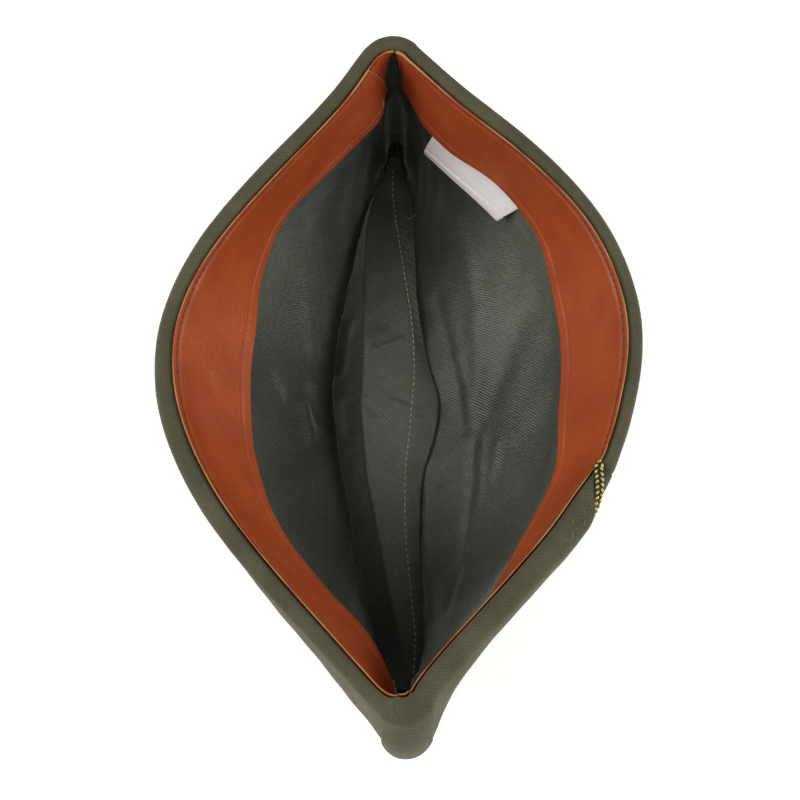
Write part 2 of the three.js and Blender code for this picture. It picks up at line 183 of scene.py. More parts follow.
class CapForm:
    """Form that every layer follows: belts round the cap from the rim down to the folds."""

    belts = Table(
        "down back front mid half tip_back tip_front point",
        (0, 121, 116, 17, 83.5, 8.5, 6, 1),
        (25, 122, 122.5, 16, 72, 8, 5.5, 0.65),
        (50, 122, 119, 15, 60.5, 8, 5.5, 0.5),
        (75, 121, 110, 13, 49, 8, 6.5, 0.4),
        (95, 117, 101, 11, 38, 8, 7, 0.3),
        (106, 113, 93, 10, 32, 6, 6, 0.3),
        (112, 110, 89, 9, 28.5, 4.5, 4.5, 0.3),
        (117, 106, 85, 9, 25, 3.5, 3.5, 0.3),
    )
    levels = Table(
        "down middle back front rise",
        (0, 96, 112, 112, 2),
        (25, 74, 88, 88, 2),
        (50, 52, 63, 62, 2),
        (75, 30, 38, 36, 2),
        (95, 11, 18, 17, 2.5),
        (106, 2.5, 9, 8, 4),
        (112, 1, 6, 5, 4),
        (117, 1, 4.5, 4, 4),
    )
    worn = Table(
        "at rim low tuck",
        (0, 0.2, 0.2, 0), (0.06, -0.6, -0.3, 0), (0.14, -1, -0.6, 0), (0.22, -1.2, -0.8, 0),
        (0.3, 0.5, 0.4, 0), (0.38, 1.5, 1.5, 0), (0.46, 0.2, 0.2, 0), (0.54, -0.2, -0.2, 0),
        (0.58, 1.2, 0.6, 0), (0.6, 2.4, 0.8, 0), (0.63, 3.2, 0.4, 0), (0.66, 2.6, -1.6, -1),
        (0.7, 1.2, -4.2, -1.5), (0.76, 0.2, -5.8, -2), (0.82, -0.8, -4.4, -2.4),
        (0.88, -1.4, -1.8, -2.4), (0.94, -0.6, -0.9, -2), (1, 0.2, 1, -2), (1.06, 0.4, -0.8, -2),
        (1.12, 1.4, -0.6, -2), (1.18, 0.6, -1.3, -1), (1.24, -0.4, -1.6, 0), (1.3, -0.3, -0.8, 0),
        (1.38, 1.2, 0.8, 0), (1.46, 1.3, 0.8, 0), (1.54, -1.7, -1.4, 0), (1.62, -2, -1.6, 0),
        (1.7, -1.4, -1, 0), (1.78, -0.6, -0.4, 0), (1.86, 0.9, 0.6, 0), (1.94, 0.8, 0.4, 0),
        (2, 0.2, 0.2, 0),
    )
    tip_share = 0.05
    centre_shift = 1.3
    panel_end = 117.0
    worn_fade = 120.0
    low_from = 3.0
    low_to = 30.0
    tuck_from = 32.0
    tuck_to = 56.0
    flanks = {Side.RIGHT: (0.2, 0.55), Side.LEFT: (0.48, 0.16)}

    def belt(self, at: Array, down: Array) -> tuple[Array, Array]:
        """Find places on the form, as if they were all on the wearer's right.

        Args:
            at: Places round the cap: 0 back tip, 1 front tip, 2 back tip by the left.
            down: Lengths down the wall from the rim.

        Returns:
            The points, and the angle each faces in plan.
        """
        at, down = np.broadcast_arrays(np.asarray(at, float), np.asarray(down, float))
        right = at <= 1
        run = np.where(right, at, 2 - at)
        belt = {name: self.belts.read(name, down) for name in self.belts.columns}
        level = {name: self.levels.read(name, down) for name in self.levels.columns}
        angle = math.pi * np.clip((run - self.tip_share) / (1 - 2 * self.tip_share), 0, 1)
        turn = np.minimum(1, np.minimum(run, 1 - run) / self.tip_share)
        back = angle < math.pi / 2
        tip = np.where(back, belt["tip_back"], belt["tip_front"])
        reach = np.where(back, belt["back"] - belt["mid"], belt["front"] + belt["mid"]) - tip
        half = belt["half"] - tip
        flat_right, flat_left = self.flanks[Side.RIGHT], self.flanks[Side.LEFT]
        at_back = np.where(right, flat_right[0], flat_left[0])
        at_front = np.where(right, flat_right[1], flat_left[1])
        point = belt["point"] * np.where(back, at_back, at_front)
        rounding = np.sin(angle) ** 2
        across = half * ((1 - point) * rounding + point * rounding**2)
        lean = half * np.cos(angle) * (2 * (1 - point) + 4 * point * rounding)
        straight = np.where(back, 1, -1) * math.pi / 2
        facing = straight + (np.arctan2(lean, reach) - straight) * turn
        rim, low = self.worn.read("rim", at), self.worn.read("low", at)
        push = rim + (low - rim) * ease(down, self.low_from, self.low_to)
        push = push + self.worn.read("tuck", at) * ease(down, self.tuck_from, self.tuck_to)
        push = push * np.exp(-np.maximum(down, 0) / self.worn_fade)
        ends = np.where(back, level["back"], level["front"])
        x = across + (tip + push) * np.cos(facing) + LAYERS.seam
        y = belt["mid"] + reach * np.cos(angle) + (tip + push) * np.sin(facing) + self.centre_shift
        z = level["middle"] + (ends - level["middle"]) * np.abs(np.cos(angle)) ** level["rise"]
        return np.stack([x, y, z], -1), facing

    @staticmethod
    def places(side: Side, count: int) -> Array:
        """Return a column of places along one side, from the back tip to the front tip."""
        ends = (0, 1) if side is Side.RIGHT else (2, 1.000001)
        return np.linspace(*ends, count)[:, None]

    def wall(self, at: Array, down: Array, off: Array) -> Array:
        """Find points off the form.

        Args:
            at: Places round the cap.
            down: Lengths down the wall from the rim.
            off: Distances outward from the crown's inner face.

        Returns:
            The points, none of them under the surface that the cap rests on.
        """
        at, down, off = np.broadcast_arrays(*(np.asarray(v, float) for v in (at, down, off)))
        spot, facing = self.belt(at, down)
        below = self.belt(at, np.minimum(self.panel_end, down + 0.5))[0]
        above = self.belt(at, down - 0.5)[0]
        along = np.stack([-np.sin(facing), np.cos(facing), np.zeros_like(facing)], -1)
        points = spot + unit(np.cross(below - above, along)) * off[..., None]
        points[..., 2] = np.maximum(0, points[..., 2])
        points[..., 0] *= np.where(at <= 1, 1, -1)
        return points


FORM = CapForm()


def mesh_piece(name: str, points: Array, faces: Faces, lengths: Array | None = None) -> Piece:
    """Make a smooth object from points and faces.

    Args:
        name: Name of the piece.
        points: Points in millimetres.
        faces: Lists of point numbers.
        lengths: Map of each point, in millimetres along and across the piece.

    Returns:
        The object, linked into the scene.
    """
    mesh = bpy.data.meshes.new(name)
    mesh.from_pydata((points * METRES).tolist(), [], faces)
    mesh.validate()
    mesh.polygons.foreach_set("use_smooth", [True] * len(mesh.polygons))
    mesh.set_sharp_from_angle(angle=SHARP)
    if lengths is not None:
        corners = np.empty(len(mesh.loops), np.int32)
        mesh.loops.foreach_get("vertex_index", corners)
        layer = mesh.uv_layers.new(name=MAP_NAME)
        layer.data.foreach_set("uv", lengths[corners].astype(np.float32).ravel())
    piece = bpy.data.objects.new(name, mesh)
    bpy.context.scene.collection.objects.link(piece)
    return piece


def enclosed(points: Array, faces: Array) -> float:
    """Return six times the volume that four-sided faces enclose."""
    a, b, c, d = (points[faces[:, k]] for k in range(4))
    return float((np.cross(b - a, c - a) * a).sum() + (np.cross(c - a, d - a) * a).sum())


@dataclass
class Sheet:
    """Closed thin sheet between two grids of points, with rounded borders."""

    name: str
    outer: Array
    inner: Array
    lengths: Array
    rim_steps: int = 2
    flat: tuple[float, float] = field(init=False)
    area: float = field(init=False)

    def __post_init__(self) -> None:
        """Measure the cut that the sheet came from."""
        middle = (self.outer + self.inner) / 2
        rows = np.linalg.norm(np.diff(middle, axis=1), axis=-1).sum(1)
        columns = np.linalg.norm(np.diff(middle, axis=0), axis=-1).sum(0)
        one, two = middle[1:, 1:] - middle[:-1, :-1], middle[1:, :-1] - middle[:-1, 1:]
        self.area = float(np.linalg.norm(np.cross(one, two), axis=-1).sum() / 2) * METRES**2
        self.flat = (float(rows.max()) * METRES, float(columns.max()) * METRES)

    def build(self) -> Piece:
        """Make the sheet's mesh.

        Returns:
            The object of the sheet.
        """
        rows, columns = self.outer.shape[:2]
        ids = np.arange(rows * columns).reshape(rows, columns)
        border = np.concatenate([ids[0, :-1], ids[:-1, -1], ids[-1, :0:-1], ids[:0:-1, 0]])
        outer, inner = self.outer.reshape(-1, 3), self.inner.reshape(-1, 3)
        middle = (outer + inner) / 2
        row, column = np.divmod(border, columns)
        near = np.clip(row, 1, rows - 2) * columns + np.clip(column, 1, columns - 2)
        away = unit(middle[border] - middle[near])
        half = np.linalg.norm(outer[border] - inner[border], axis=1)[:, None] / 2
        turns = [math.pi * (step + 1) / (self.rim_steps + 1) for step in range(self.rim_steps)]
        over = outer[border] - middle[border]
        rings = [middle[border] + over * math.cos(a) + away * half * math.sin(a) for a in turns]
        points = np.concatenate([outer, inner, *rings])
        quads = np.stack([ids[:-1, :-1], ids[:-1, 1:], ids[1:, 1:], ids[1:, :-1]], -1).reshape(-1, 4)
        count, length = len(outer), len(border)
        loops = [border]
        loops += [2 * count + step * length + np.arange(length) for step in range(self.rim_steps)]
        loops += [border + count]
        faces = [quads, quads[:, ::-1] + count]
        for one, two in zip(loops, loops[1:]):
            faces.append(np.stack([one, two, np.roll(two, -1), np.roll(one, -1)], -1))
        every = np.concatenate(faces)
        if enclosed(points, every) < 0:
            every = every[:, ::-1]
        plan = self.lengths.reshape(-1, 2)
        maps = np.concatenate([plan, plan, *[plan[border]] * self.rim_steps])
        return mesh_piece(self.name, points, every.tolist(), maps)


def faces_of(surface: Array, thickness: float, toward: Array | None = None) -> tuple[Array, Array]:
    """Raise the two faces of a sheet from the grid of its middle.

    Args:
        surface: Grid of points along the middle of the sheet.
        thickness: Thickness of the sheet.
        toward: Rough direction of the first face, up where none is given.

    Returns:
        The first and second faces.
    """
    along = np.gradient(surface, axis=0)
    across = np.gradient(surface, axis=1)
    normal = unit(np.cross(along, across))
    wanted = np.array([0.0, 0.0, 1.0]) if toward is None else toward
    normal *= np.where((normal * wanted).sum(-1, keepdims=True) < 0, -1, 1)
    return surface + normal * thickness / 2, surface - normal * thickness / 2


def plan_lengths(surface: Array) -> Array:
    """Return a map of a grid, in lengths along its rows and columns."""
    along = np.zeros(surface.shape[:2])
    across = np.zeros(surface.shape[:2])
    along[1:] = np.cumsum(np.linalg.norm(np.diff(surface, axis=0), axis=-1), axis=0).mean(1, keepdims=True)
    across[:, 1:] = np.cumsum(np.linalg.norm(np.diff(surface, axis=1), axis=-1), axis=1)
    return np.stack([along, across], -1)


def tube_piece(name: str, rings: Array, lengths: Array) -> Piece:
    """Make closed tubes.

    Args:
        name: Name of the piece.
        rings: Points of the tubes, by tube, step and side.
        lengths: Map of each point.

    Returns:
        One object of all the tubes.
    """
    points = rings.reshape(-1, 3)
    ids = np.arange(len(points)).reshape(rings.shape[:3])
    after = np.roll(ids, -1, axis=2)
    quads = np.stack([ids[:, :-1], ids[:, 1:], after[:, 1:], after[:, :-1]], -1).reshape(-1, 4)
    faces = quads.tolist() + ids[:, 0].tolist() + ids[:, -1, ::-1].tolist()
    about_middle = rings - rings.mean(axis=(1, 2), keepdims=True)
    if enclosed(about_middle.reshape(-1, 3), quads) < 0:
        faces = [face[::-1] for face in faces]
    return mesh_piece(name, points, faces, lengths.reshape(-1, 2))


def cord_piece(name: str, centre: Array, wide: Array, deep: Array, sides: int) -> Piece:
    """Make a closed cord of oval section.

    Args:
        name: Name of the piece.
        centre: Points along the middle of the cord.
        wide: Half width of the section at each point, as a vector.
        deep: Half depth of the section at each point, as a vector.
        sides: Number of sides of the section.

    Returns:
        The object of the cord, mapped along its length and round it.
    """
    angles = 2 * math.pi * np.arange(sides) / sides
    ring = np.cos(angles)[:, None] * wide[:, None] + np.sin(angles)[:, None] * deep[:, None]
    lengths = np.stack(np.broadcast_arrays(lengths_along(centre)[:, None], angles), -1)
    return tube_piece(name, (centre[:, None] + ring)[None], lengths)


@dataclass(frozen=True)
class Needlework:
    """Row of equal stitches that dip into the cloth at both ends."""

    name: str
    radius: float
    arch: float
    sides: int = 6
    steps: int = 5
    thin_end: float = 0.35
    map_step: float = 3.0

    def sew(self, starts: Array, ends: Array, normals: Array) -> Piece:
        """Make the stitches.

        Args:
            starts: First end of each stitch.
            ends: Other end of each stitch.
            normals: Direction out of the cloth at each stitch.

        Returns:
            One object of all the stitches.
        """
        share = np.linspace(0, 1, self.steps)
        swell = np.array([self.thin_end, *[1.0] * (self.steps - 2), self.thin_end]) * self.radius
        along = unit(ends - starts)
        sideways = unit(np.cross(along, normals))
        up = np.cross(sideways, along)
        bow = self.arch * (4 * share * (1 - share) - self.thin_end)
        middle = starts[:, None] + (ends - starts)[:, None] * share[:, None] + up[:, None] * bow[:, None]
        angles = 2 * math.pi * np.arange(self.sides) / self.sides
        ring = np.cos(angles)[:, None] * sideways[:, None] + np.sin(angles)[:, None] * up[:, None]
        rings = middle[:, :, None] + ring[:, None] * swell[:, None, None]
        number = self.map_step * np.arange(len(starts))[:, None, None]
        lengths = np.stack(np.broadcast_arrays(number, share[:, None], angles)[:2], -1)
        return tube_piece(self.name, rings, lengths)


class Sketch:
    """Node tree under construction, with short calls for its nodes."""

    def __init__(self, tree: bpy.types.NodeTree) -> None:
        """Keep the tree."""
        self.tree = tree

    def fill(self, node: bpy.types.Node, inputs: dict) -> None:
        """Set or link the inputs of a node.

        Args:
            node: Node of this tree.
            inputs: Values or sockets, by the name or number of the input.
        """
        for key, value in inputs.items():
            if isinstance(value, Socket):
                self.tree.links.new(value, node.inputs[key])
            else:
                node.inputs[key].default_value = value

    def add(self, kind: str, inputs: dict | None = None, **settings: object) -> bpy.types.Node:
        """Add a node.

        Args:
            kind: Node type without its Shader prefix.
            inputs: Values or sockets, by the name or number of the input.
            settings: Properties of the node.

        Returns:
            The node.
        """
        node = self.tree.nodes.new("ShaderNode" + kind)
        for name, value in settings.items():
            setattr(node, name, value)
        self.fill(node, inputs or {})
        return node

    def math(self, operation: str, *values: object) -> Socket:
        """Return the result of a Math node."""
        return self.add("Math", dict(enumerate(values)), operation=operation).outputs[0]

    def times(self, one: object, two: object) -> Socket:
        """Return a product."""
        return self.math("MULTIPLY", one, two)

    def noise(self, place: Socket, scale: object, detail: float, roughness: float = 0.5) -> Socket:
        """Return a noise value."""
        inputs = {"Vector": place, "Scale": scale, "Detail": detail, "Roughness": roughness}
        return self.add("TexNoise", inputs).outputs[0]

    def span(self, value: Socket, low: float, high: float, to: tuple[float, float] = (0, 1)) -> Socket:
        """Return a value mapped smoothly from one range to another."""
        ends = {"Value": value, "From Min": low, "From Max": high, "To Min": to[0], "To Max": to[1]}
        return self.add("MapRange", ends, interpolation_type="SMOOTHSTEP").outputs[0]

    def blend(self, share: object, first: object, second: object) -> Socket:
        """Return a mix of two colours."""
        return self.add("Mix", {0: share, 6: first, 7: second}, data_type="RGBA").outputs[2]

    def cover(self, mask: Socket, strength: float, under: object, over: object) -> Socket:
        """Return a colour with another laid over it where a mask is."""
        return self.blend(self.times(mask, strength), under, over)

    def place(self, group: bpy.types.NodeTree, lengths: Socket, **values: float) -> Outputs:
        """Place a shared effect on a map, with values of its own, and return its outputs."""
        return self.add("Group", {"Map": lengths, **values}, node_tree=group).outputs


class Effects:
    """Shader node groups that several finishes share, each built once."""

    def __init__(self) -> None:
        """Build the groups."""
        self.twill = self._twill()
        self.fibre = self._fibre()
        self.flecks = self._flecks()

    @staticmethod
    def _start(name: str, values: str, results: str) -> tuple[Sketch, dict[str, Socket], bpy.types.Node]:
        """Open a group that reads a piece's map.

        Args:
            name: Name of the group.
            values: Names of its value inputs.
            results: Names of its value outputs.

        Returns:
            The sketch, the inputs by name and the output node.
        """
        tree = bpy.data.node_groups.new(name, "ShaderNodeTree")
        tree.interface.new_socket(name="Map", in_out="INPUT", socket_type="NodeSocketVector")
        for way, labels in (("INPUT", values), ("OUTPUT", results)):
            for label in labels.split():
                tree.interface.new_socket(name=label, in_out=way, socket_type="NodeSocketFloat")
        sources = tree.nodes.new("NodeGroupInput").outputs
        given = {label: sources[label] for label in ("Map", *values.split())}
        return Sketch(tree), given, tree.nodes.new("NodeGroupOutput")

    def _twill(self) -> bpy.types.NodeTree:
        """Build slanting ribs of short floats, as a twill shows them.

        Returns:
            Group with the height of the ribs and a mask of the dark lines between them.
        """
        sketch, given, out = self._start("Twill ribs", "Rib Slant Float Wander", "Height Lines")
        slanted = {"Vector": given["Map"], "Angle": given["Slant"]}
        turned = sketch.add("VectorRotate", slanted, rotation_type="Z_AXIS").outputs[0]
        split = sketch.add("SeparateXYZ", {0: turned}).outputs
        sway = sketch.math("SUBTRACT", sketch.noise(given["Map"], 0.16, 2.0), 0.5)
        stray = sketch.math("ADD", split[1], sketch.times(sway, given["Wander"]))
        across = sketch.math("DIVIDE", stray, given["Rib"])
        wave = sketch.math("SINE", sketch.times(across, 2 * math.pi))
        along = sketch.math("DIVIDE", split[0], given["Float"])
        step = sketch.times(sketch.math("FLOOR", across), 0.37)
        beat = sketch.math("SINE", sketch.times(sketch.math("ADD", along, step), 2 * math.pi))
        patch = sketch.noise(given["Map"], 0.55, 3.0)
        height = sketch.math("MULTIPLY_ADD", beat, 0.1, sketch.math("MULTIPLY_ADD", wave, 0.38, 0.5))
        lines = sketch.times(sketch.span(wave, -0.35, -0.95), sketch.span(patch, 0.36, 0.6))
        sketch.fill(out, {"Height": height, "Lines": lines})
        return sketch.tree

    def _fibre(self) -> bpy.types.NodeTree:
        """Build uneven dye and loose fibre.

        Returns:
            Group with a fine value and a broad value.
        """
        sketch, given, out = self._start("Fibre and dye", "Fine Broad", "Fine Broad")
        fine = sketch.noise(given["Map"], given["Fine"], 4.0, 0.7)
        broad = sketch.noise(given["Map"], given["Broad"], 3.0)
        sketch.fill(out, {"Fine": sketch.span(fine, 0.28, 0.72), "Broad": sketch.span(broad, 0.3, 0.7)})
        return sketch.tree

    def _flecks(self) -> bpy.types.NodeTree:
        """Build a few specks of dust and lint.

        Returns:
            Group with a mask of the specks.
        """
        sketch, given, out = self._start("Dust flecks", "Spacing Size", "Mask")
        scale = sketch.math("DIVIDE", 1.0, given["Spacing"])
        cells = sketch.add("TexVoronoi", {"Vector": given["Map"], "Scale": scale, "Randomness": 1.0}).outputs
        near = sketch.math("LESS_THAN", cells["Distance"], sketch.times(given["Size"], scale))
        chosen = sketch.add("SeparateColor", {0: cells["Color"]}).outputs[0]
        sketch.fill(out, {"Mask": sketch.times(near, sketch.math("GREATER_THAN", chosen, 0.62))})
        return sketch.tree


@dataclass(frozen=True)
class Finish:
    """Look of one kind of surface."""

    name: str
    colour: Colour
    dark: Colour
    light: Colour
    roughness: float
    depth: float = 0.06

    def material(self, effects: Effects) -> Material:
        """Build the material.

        Args:
            effects: Groups that the finishes share.

        Returns:
            The finished material.
        """
        material = bpy.data.materials.new(self.name)
        material.use_nodes = True
        sketch = Sketch(material.node_tree)
        lengths = sketch.add("UVMap", uv_map=MAP_NAME).outputs[0]
        look, relief = self.look(sketch, effects, lengths)
        bump = sketch.add("Bump", {"Height": relief, "Strength": 1.0, "Distance": self.depth * METRES})
        surface = material.node_tree.nodes["Principled BSDF"]
        sketch.fill(surface, {"Roughness": self.roughness, "Normal": bump.outputs[0], **look})
        return material

    def look(self, sketch: Sketch, effects: Effects, lengths: Socket) -> tuple[dict, Socket]:
        """Draw what the surface shows.

        Args:
            sketch: Sketch of the material.
            effects: Groups that the finishes share.
            lengths: Map of the piece, in millimetres along and across it.

        Returns:
            Inputs of the surface shader by name, and the relief.
        """
        raise NotImplementedError


@dataclass(frozen=True)
class WoolTwill(Finish):
    """Olive wool with slanting ribs, a short nap, and ridges painted lighter, part wear and part painted
    highlight.
    """

    depth: float = 0.12
    rib: float = 1.1
    slant: float = 0.8
    dust: Colour = (0.34, 0.32, 0.27, 1)

    def look(self, sketch: Sketch, effects: Effects, lengths: Socket) -> tuple[dict, Socket]:
        """Draw the wool, as Finish.look describes."""
        ribs = sketch.place(effects.twill, lengths, Rib=self.rib, Slant=self.slant, Float=2.6, Wander=0.5)
        fibre = sketch.place(effects.fibre, lengths, Fine=1.9, Broad=0.045)
        flecks = sketch.place(effects.flecks, lengths, Spacing=9.0, Size=0.16)
        dyed = sketch.blend(fibre["Broad"], self.colour, self.light)
        hairy = sketch.cover(fibre["Fine"], 0.35, dyed, self.light)
        lined = sketch.cover(ribs["Lines"], 0.35, hairy, self.dark)
        # Partly wear, partly painted highlight: convex ridges and edges, found by their pointiness, are
        # painted lighter.
        edge = sketch.add("NewGeometry").outputs["Pointiness"]
        worn = sketch.blend(sketch.span(edge, 0.505, 0.56, (0, 0.5)), lined, self.light)
        look = {
            "Base Color": sketch.cover(flecks["Mask"], 0.5, worn, self.dust),
            "Sheen Weight": 0.25,
            "Sheen Roughness": 0.45,
            "Sheen Tint": (0.8, 0.76, 0.6, 1),
            "Specular IOR Level": 0.15,
        }
        return look, sketch.math("MULTIPLY_ADD", fibre["Fine"], 0.5, ribs["Height"])


@dataclass(frozen=True)
class SatinTwill(Finish):
    """Grey-green lining satin, glossy, with a painted sheen on the upper side walls and painted shade
    in its deep front and back ends, where the face is also rougher.

    The places of the painted sheen and the painted shade are in metres on the cap.
    """

    depth: float = 0.14
    rib: float = 0.95
    slant: float = 0.95
    dust: Colour = (0.3, 0.3, 0.27, 1)
    # Painted shade in the deep front and back ends: the middle that stays unshaded, and the half-lengths
    # along Y at which the shade starts and is full.
    unshaded_middle: float = 0.018
    unshaded_half: float = 0.07
    full_shade_half: float = 0.098
    dulling: float = 0.25
    # Painted sheen: a pale colour laid on the upper side walls, round a spot on each side, in metres.
    pale: Colour = (0.125, 0.137, 0.113, 1)
    sheen_spot: tuple[float, float, float] = (0.042, 0.055, 0.0)
    sheen_reach: tuple[float, float] = (0.034, 0.008)

    def look(self, sketch: Sketch, effects: Effects, lengths: Socket) -> tuple[dict, Socket]:
        """Draw the satin, as Finish.look describes."""
        ribs = sketch.place(effects.twill, lengths, Rib=self.rib, Slant=self.slant, Float=3.4, Wander=0.9)
        fibre = sketch.place(effects.fibre, lengths, Fine=2.4, Broad=0.03)
        flecks = sketch.place(effects.flecks, lengths, Spacing=11.0, Size=0.18)
        dyed = sketch.blend(fibre["Broad"], self.colour, self.light)
        lined = sketch.cover(ribs["Lines"], 0.85, dyed, self.dark)
        dusty = sketch.cover(flecks["Mask"], 0.6, lined, self.dust)
        # Painted shade: the colour darkens towards the deep front and back ends, which are also made rougher.
        spot = sketch.add("SeparateXYZ", {0: sketch.add("TexCoord").outputs["Object"]}).outputs
        away = sketch.math("ABSOLUTE", sketch.math("SUBTRACT", spot[1], self.unshaded_middle))
        ends = sketch.span(away, self.unshaded_half, self.full_shade_half)
        end_shaded = sketch.cover(ends, 0.95, dusty, self.dark)
        # Painted sheen: the upper side walls are painted pale round the sheen spot, off the twill lines.
        plan = sketch.add("CombineXYZ", {0: sketch.math("ABSOLUTE", spot[0]), 1: spot[1]}).outputs[0]
        measured = sketch.add("VectorMath", {0: plan, 1: self.sheen_spot}, operation="DISTANCE")
        near = sketch.span(measured.outputs["Value"], *self.sheen_reach)
        worn = sketch.times(near, sketch.span(ribs["Lines"], 1, 0))
        gloss = sketch.span(fibre["Fine"], 0, 1, (self.roughness - 0.05, self.roughness + 0.08))
        look = {
            "Base Color": sketch.cover(worn, 0.8, end_shaded, self.pale),
            "Roughness": sketch.math("MULTIPLY_ADD", ends, self.dulling, gloss),
            "Sheen Weight": 1.0,
            "Sheen Roughness": 0.35,
            "Sheen Tint": (0.88, 1, 0.84, 1),
            "Specular IOR Level": 0.9,
            "Specular Tint": (0.9, 1, 0.87, 1),
        }
        return look, sketch.math("MULTIPLY_ADD", fibre["Fine"], 0.3, ribs["Height"])


@dataclass(frozen=True)
class Hide(Finish):
    """Brown sweatband leather with pebble grain, rubbed patches and a raw cut edge."""

    depth: float = 0.12
    raw: Colour = (0.52, 0.25, 0.075, 1)

    def look(self, sketch: Sketch, effects: Effects, lengths: Socket) -> tuple[dict, Socket]:
        """Draw the leather, as Finish.look describes."""
        fibre = sketch.place(effects.fibre, lengths, Fine=1.1, Broad=0.05)
        pebbles = sketch.add("TexVoronoi", {"Vector": lengths, "Scale": 1.15}, feature="SMOOTH_F1").outputs
        across = sketch.add("SeparateXYZ", {0: lengths}).outputs[1]
        uneven = sketch.math("MULTIPLY_ADD", fibre["Broad"], 0.5, across)
        rubbed = sketch.blend(fibre["Broad"], self.colour, self.light)
        mottled = sketch.cover(fibre["Fine"], 0.35, rubbed, self.dark)
        # The face is coloured darker along the stitch groove.
        groove = sketch.times(sketch.span(uneven, 1.2, 1.9), sketch.span(uneven, 3.1, 2.5))
        groove_darkened = sketch.cover(groove, 0.6, mottled, self.dark)
        raw = sketch.span(uneven, 0.45, 0.15)
        shine = sketch.span(fibre["Broad"], 0, 1, (self.roughness + 0.1, self.roughness - 0.07))
        look = {
            "Base Color": sketch.blend(raw, groove_darkened, self.raw),
            "Roughness": sketch.math("MULTIPLY_ADD", raw, 0.35, shine),
            "Specular IOR Level": 0.4,
        }
        return look, sketch.math("MULTIPLY_ADD", fibre["Fine"], 0.4, pebbles["Distance"])


@dataclass(frozen=True)
class Yarn(Finish):
    """Twisted thread, plain or metallic."""

    metallic: float = 0.0
    twist: float = 0.5

    def look(self, sketch: Sketch, effects: Effects, lengths: Socket) -> tuple[dict, Socket]:
        """Draw the yarn, as Finish.look describes."""
        ribs = sketch.place(effects.twill, lengths, Rib=self.twist, Slant=0.9, Float=1.3, Wander=0.2)
        fibre = sketch.place(effects.fibre, lengths, Fine=3.0, Broad=0.2)
        dyed = sketch.blend(fibre["Broad"], self.colour, self.light)
        wound = sketch.cover(ribs["Lines"], 0.7, dyed, self.dark)
        return {"Base Color": wound, "Metallic": self.metallic, "Specular IOR Level": 0.35}, ribs["Height"]


@dataclass(frozen=True)
class Tape(Finish):
    """White woven tape of the blank tag."""

    depth: float = 0.05

    def look(self, sketch: Sketch, effects: Effects, lengths: Socket) -> tuple[dict, Socket]:
        """Draw the tape, as Finish.look describes."""
        weave = sketch.place(effects.twill, lengths, Rib=0.45, Slant=1.57, Float=0.5, Wander=0.1)
        fibre = sketch.place(effects.fibre, lengths, Fine=3.0, Broad=0.12)
        soiled = sketch.blend(fibre["Broad"], self.colour, self.light)
        woven = sketch.cover(weave["Lines"], 0.4, soiled, self.dark)
        return {"Base Color": woven, "Specular IOR Level": 0.2}, weave["Height"]


FINISHES: dict[str, Finish] = {
    "wool": WoolTwill(
        "olive wool", (0.07, 0.066, 0.038, 1), (0.022, 0.021, 0.012, 1), (0.108, 0.1, 0.06, 1), 0.9
    ),
    "satin": SatinTwill(
        "lining satin", (0.05, 0.056, 0.045, 1), (0.01, 0.011, 0.009, 1), (0.074, 0.083, 0.067, 1), 0.34
    ),
    "leather": Hide(
        "sweatband leather", (0.4, 0.064, 0.013, 1), (0.2, 0.03, 0.008, 1), (0.5, 0.095, 0.02, 1), 0.48
    ),
    "braid_core": Yarn(
        "dark braid", (0.012, 0.011, 0.009, 1), (0.004, 0.004, 0.004, 1), (0.02, 0.018, 0.014, 1), 0.7
    ),
    "gold": Yarn(
        "gold braid", (0.64, 0.48, 0.1, 1), (0.3, 0.2, 0.04, 1), (0.82, 0.68, 0.22, 1), 0.38, metallic=0.4
    ),
    "olive_thread": Yarn(
        "olive thread", (0.15, 0.145, 0.08, 1), (0.06, 0.057, 0.035, 1), (0.21, 0.2, 0.12, 1), 0.8
    ),
    "brown_thread": Yarn(
        "brown thread", (0.2, 0.085, 0.035, 1), (0.09, 0.035, 0.015, 1), (0.26, 0.14, 0.07, 1), 0.75
    ),
    "raw_edge": Yarn(
        "raw leather edge", (0.4, 0.17, 0.06, 1), (0.25, 0.1, 0.035, 1), (0.5, 0.24, 0.1, 1), 0.8
    ),
    "tan_thread": Yarn(
        "tan thread", (0.42, 0.36, 0.22, 1), (0.2, 0.17, 0.1, 1), (0.52, 0.46, 0.3, 1), 0.7
    ),
    "tape": Tape(
        "blank tape", (0.93, 0.925, 0.91, 1), (0.6, 0.59, 0.56, 1), (0.96, 0.955, 0.95, 1), 0.85
    ),
}


@dataclass(frozen=True)
class Workroom:
    """Finished materials, one of each."""

    wool: Material
    satin: Material
    leather: Material
    braid_core: Material
    gold: Material
    olive_thread: Material
    brown_thread: Material
    raw_edge: Material
    tan_thread: Material
    tape: Material

    @classmethod
    def stocked(cls) -> "Workroom":
        """Build every material of the cap."""
        effects = Effects()
        return cls(**{name: finish.material(effects) for name, finish in FINISHES.items()})


def settle(piece: Piece, material: Material, slot: Slot, *nodes: str) -> Piece:
    """Dress a piece and set it on the cap's body in place of its solids.

    Args:
        piece: Object of the piece, already in place.
        material: Finish of the piece.
        slot: Slot that the record gives such a piece; not used.
        nodes: Solids that the piece stands for.

    Returns:
        The piece.
    """
    piece.data.materials.append(material)
    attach(piece, "root")
    if nodes:
        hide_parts(*nodes)
    LOG.info("%s: %d faces", piece.name, len(piece.data.polygons))
    return piece


@dataclass(frozen=True)
class SubAssembly:
    """Part of the cap that is sewn from the workroom's materials."""

    room: Workroom


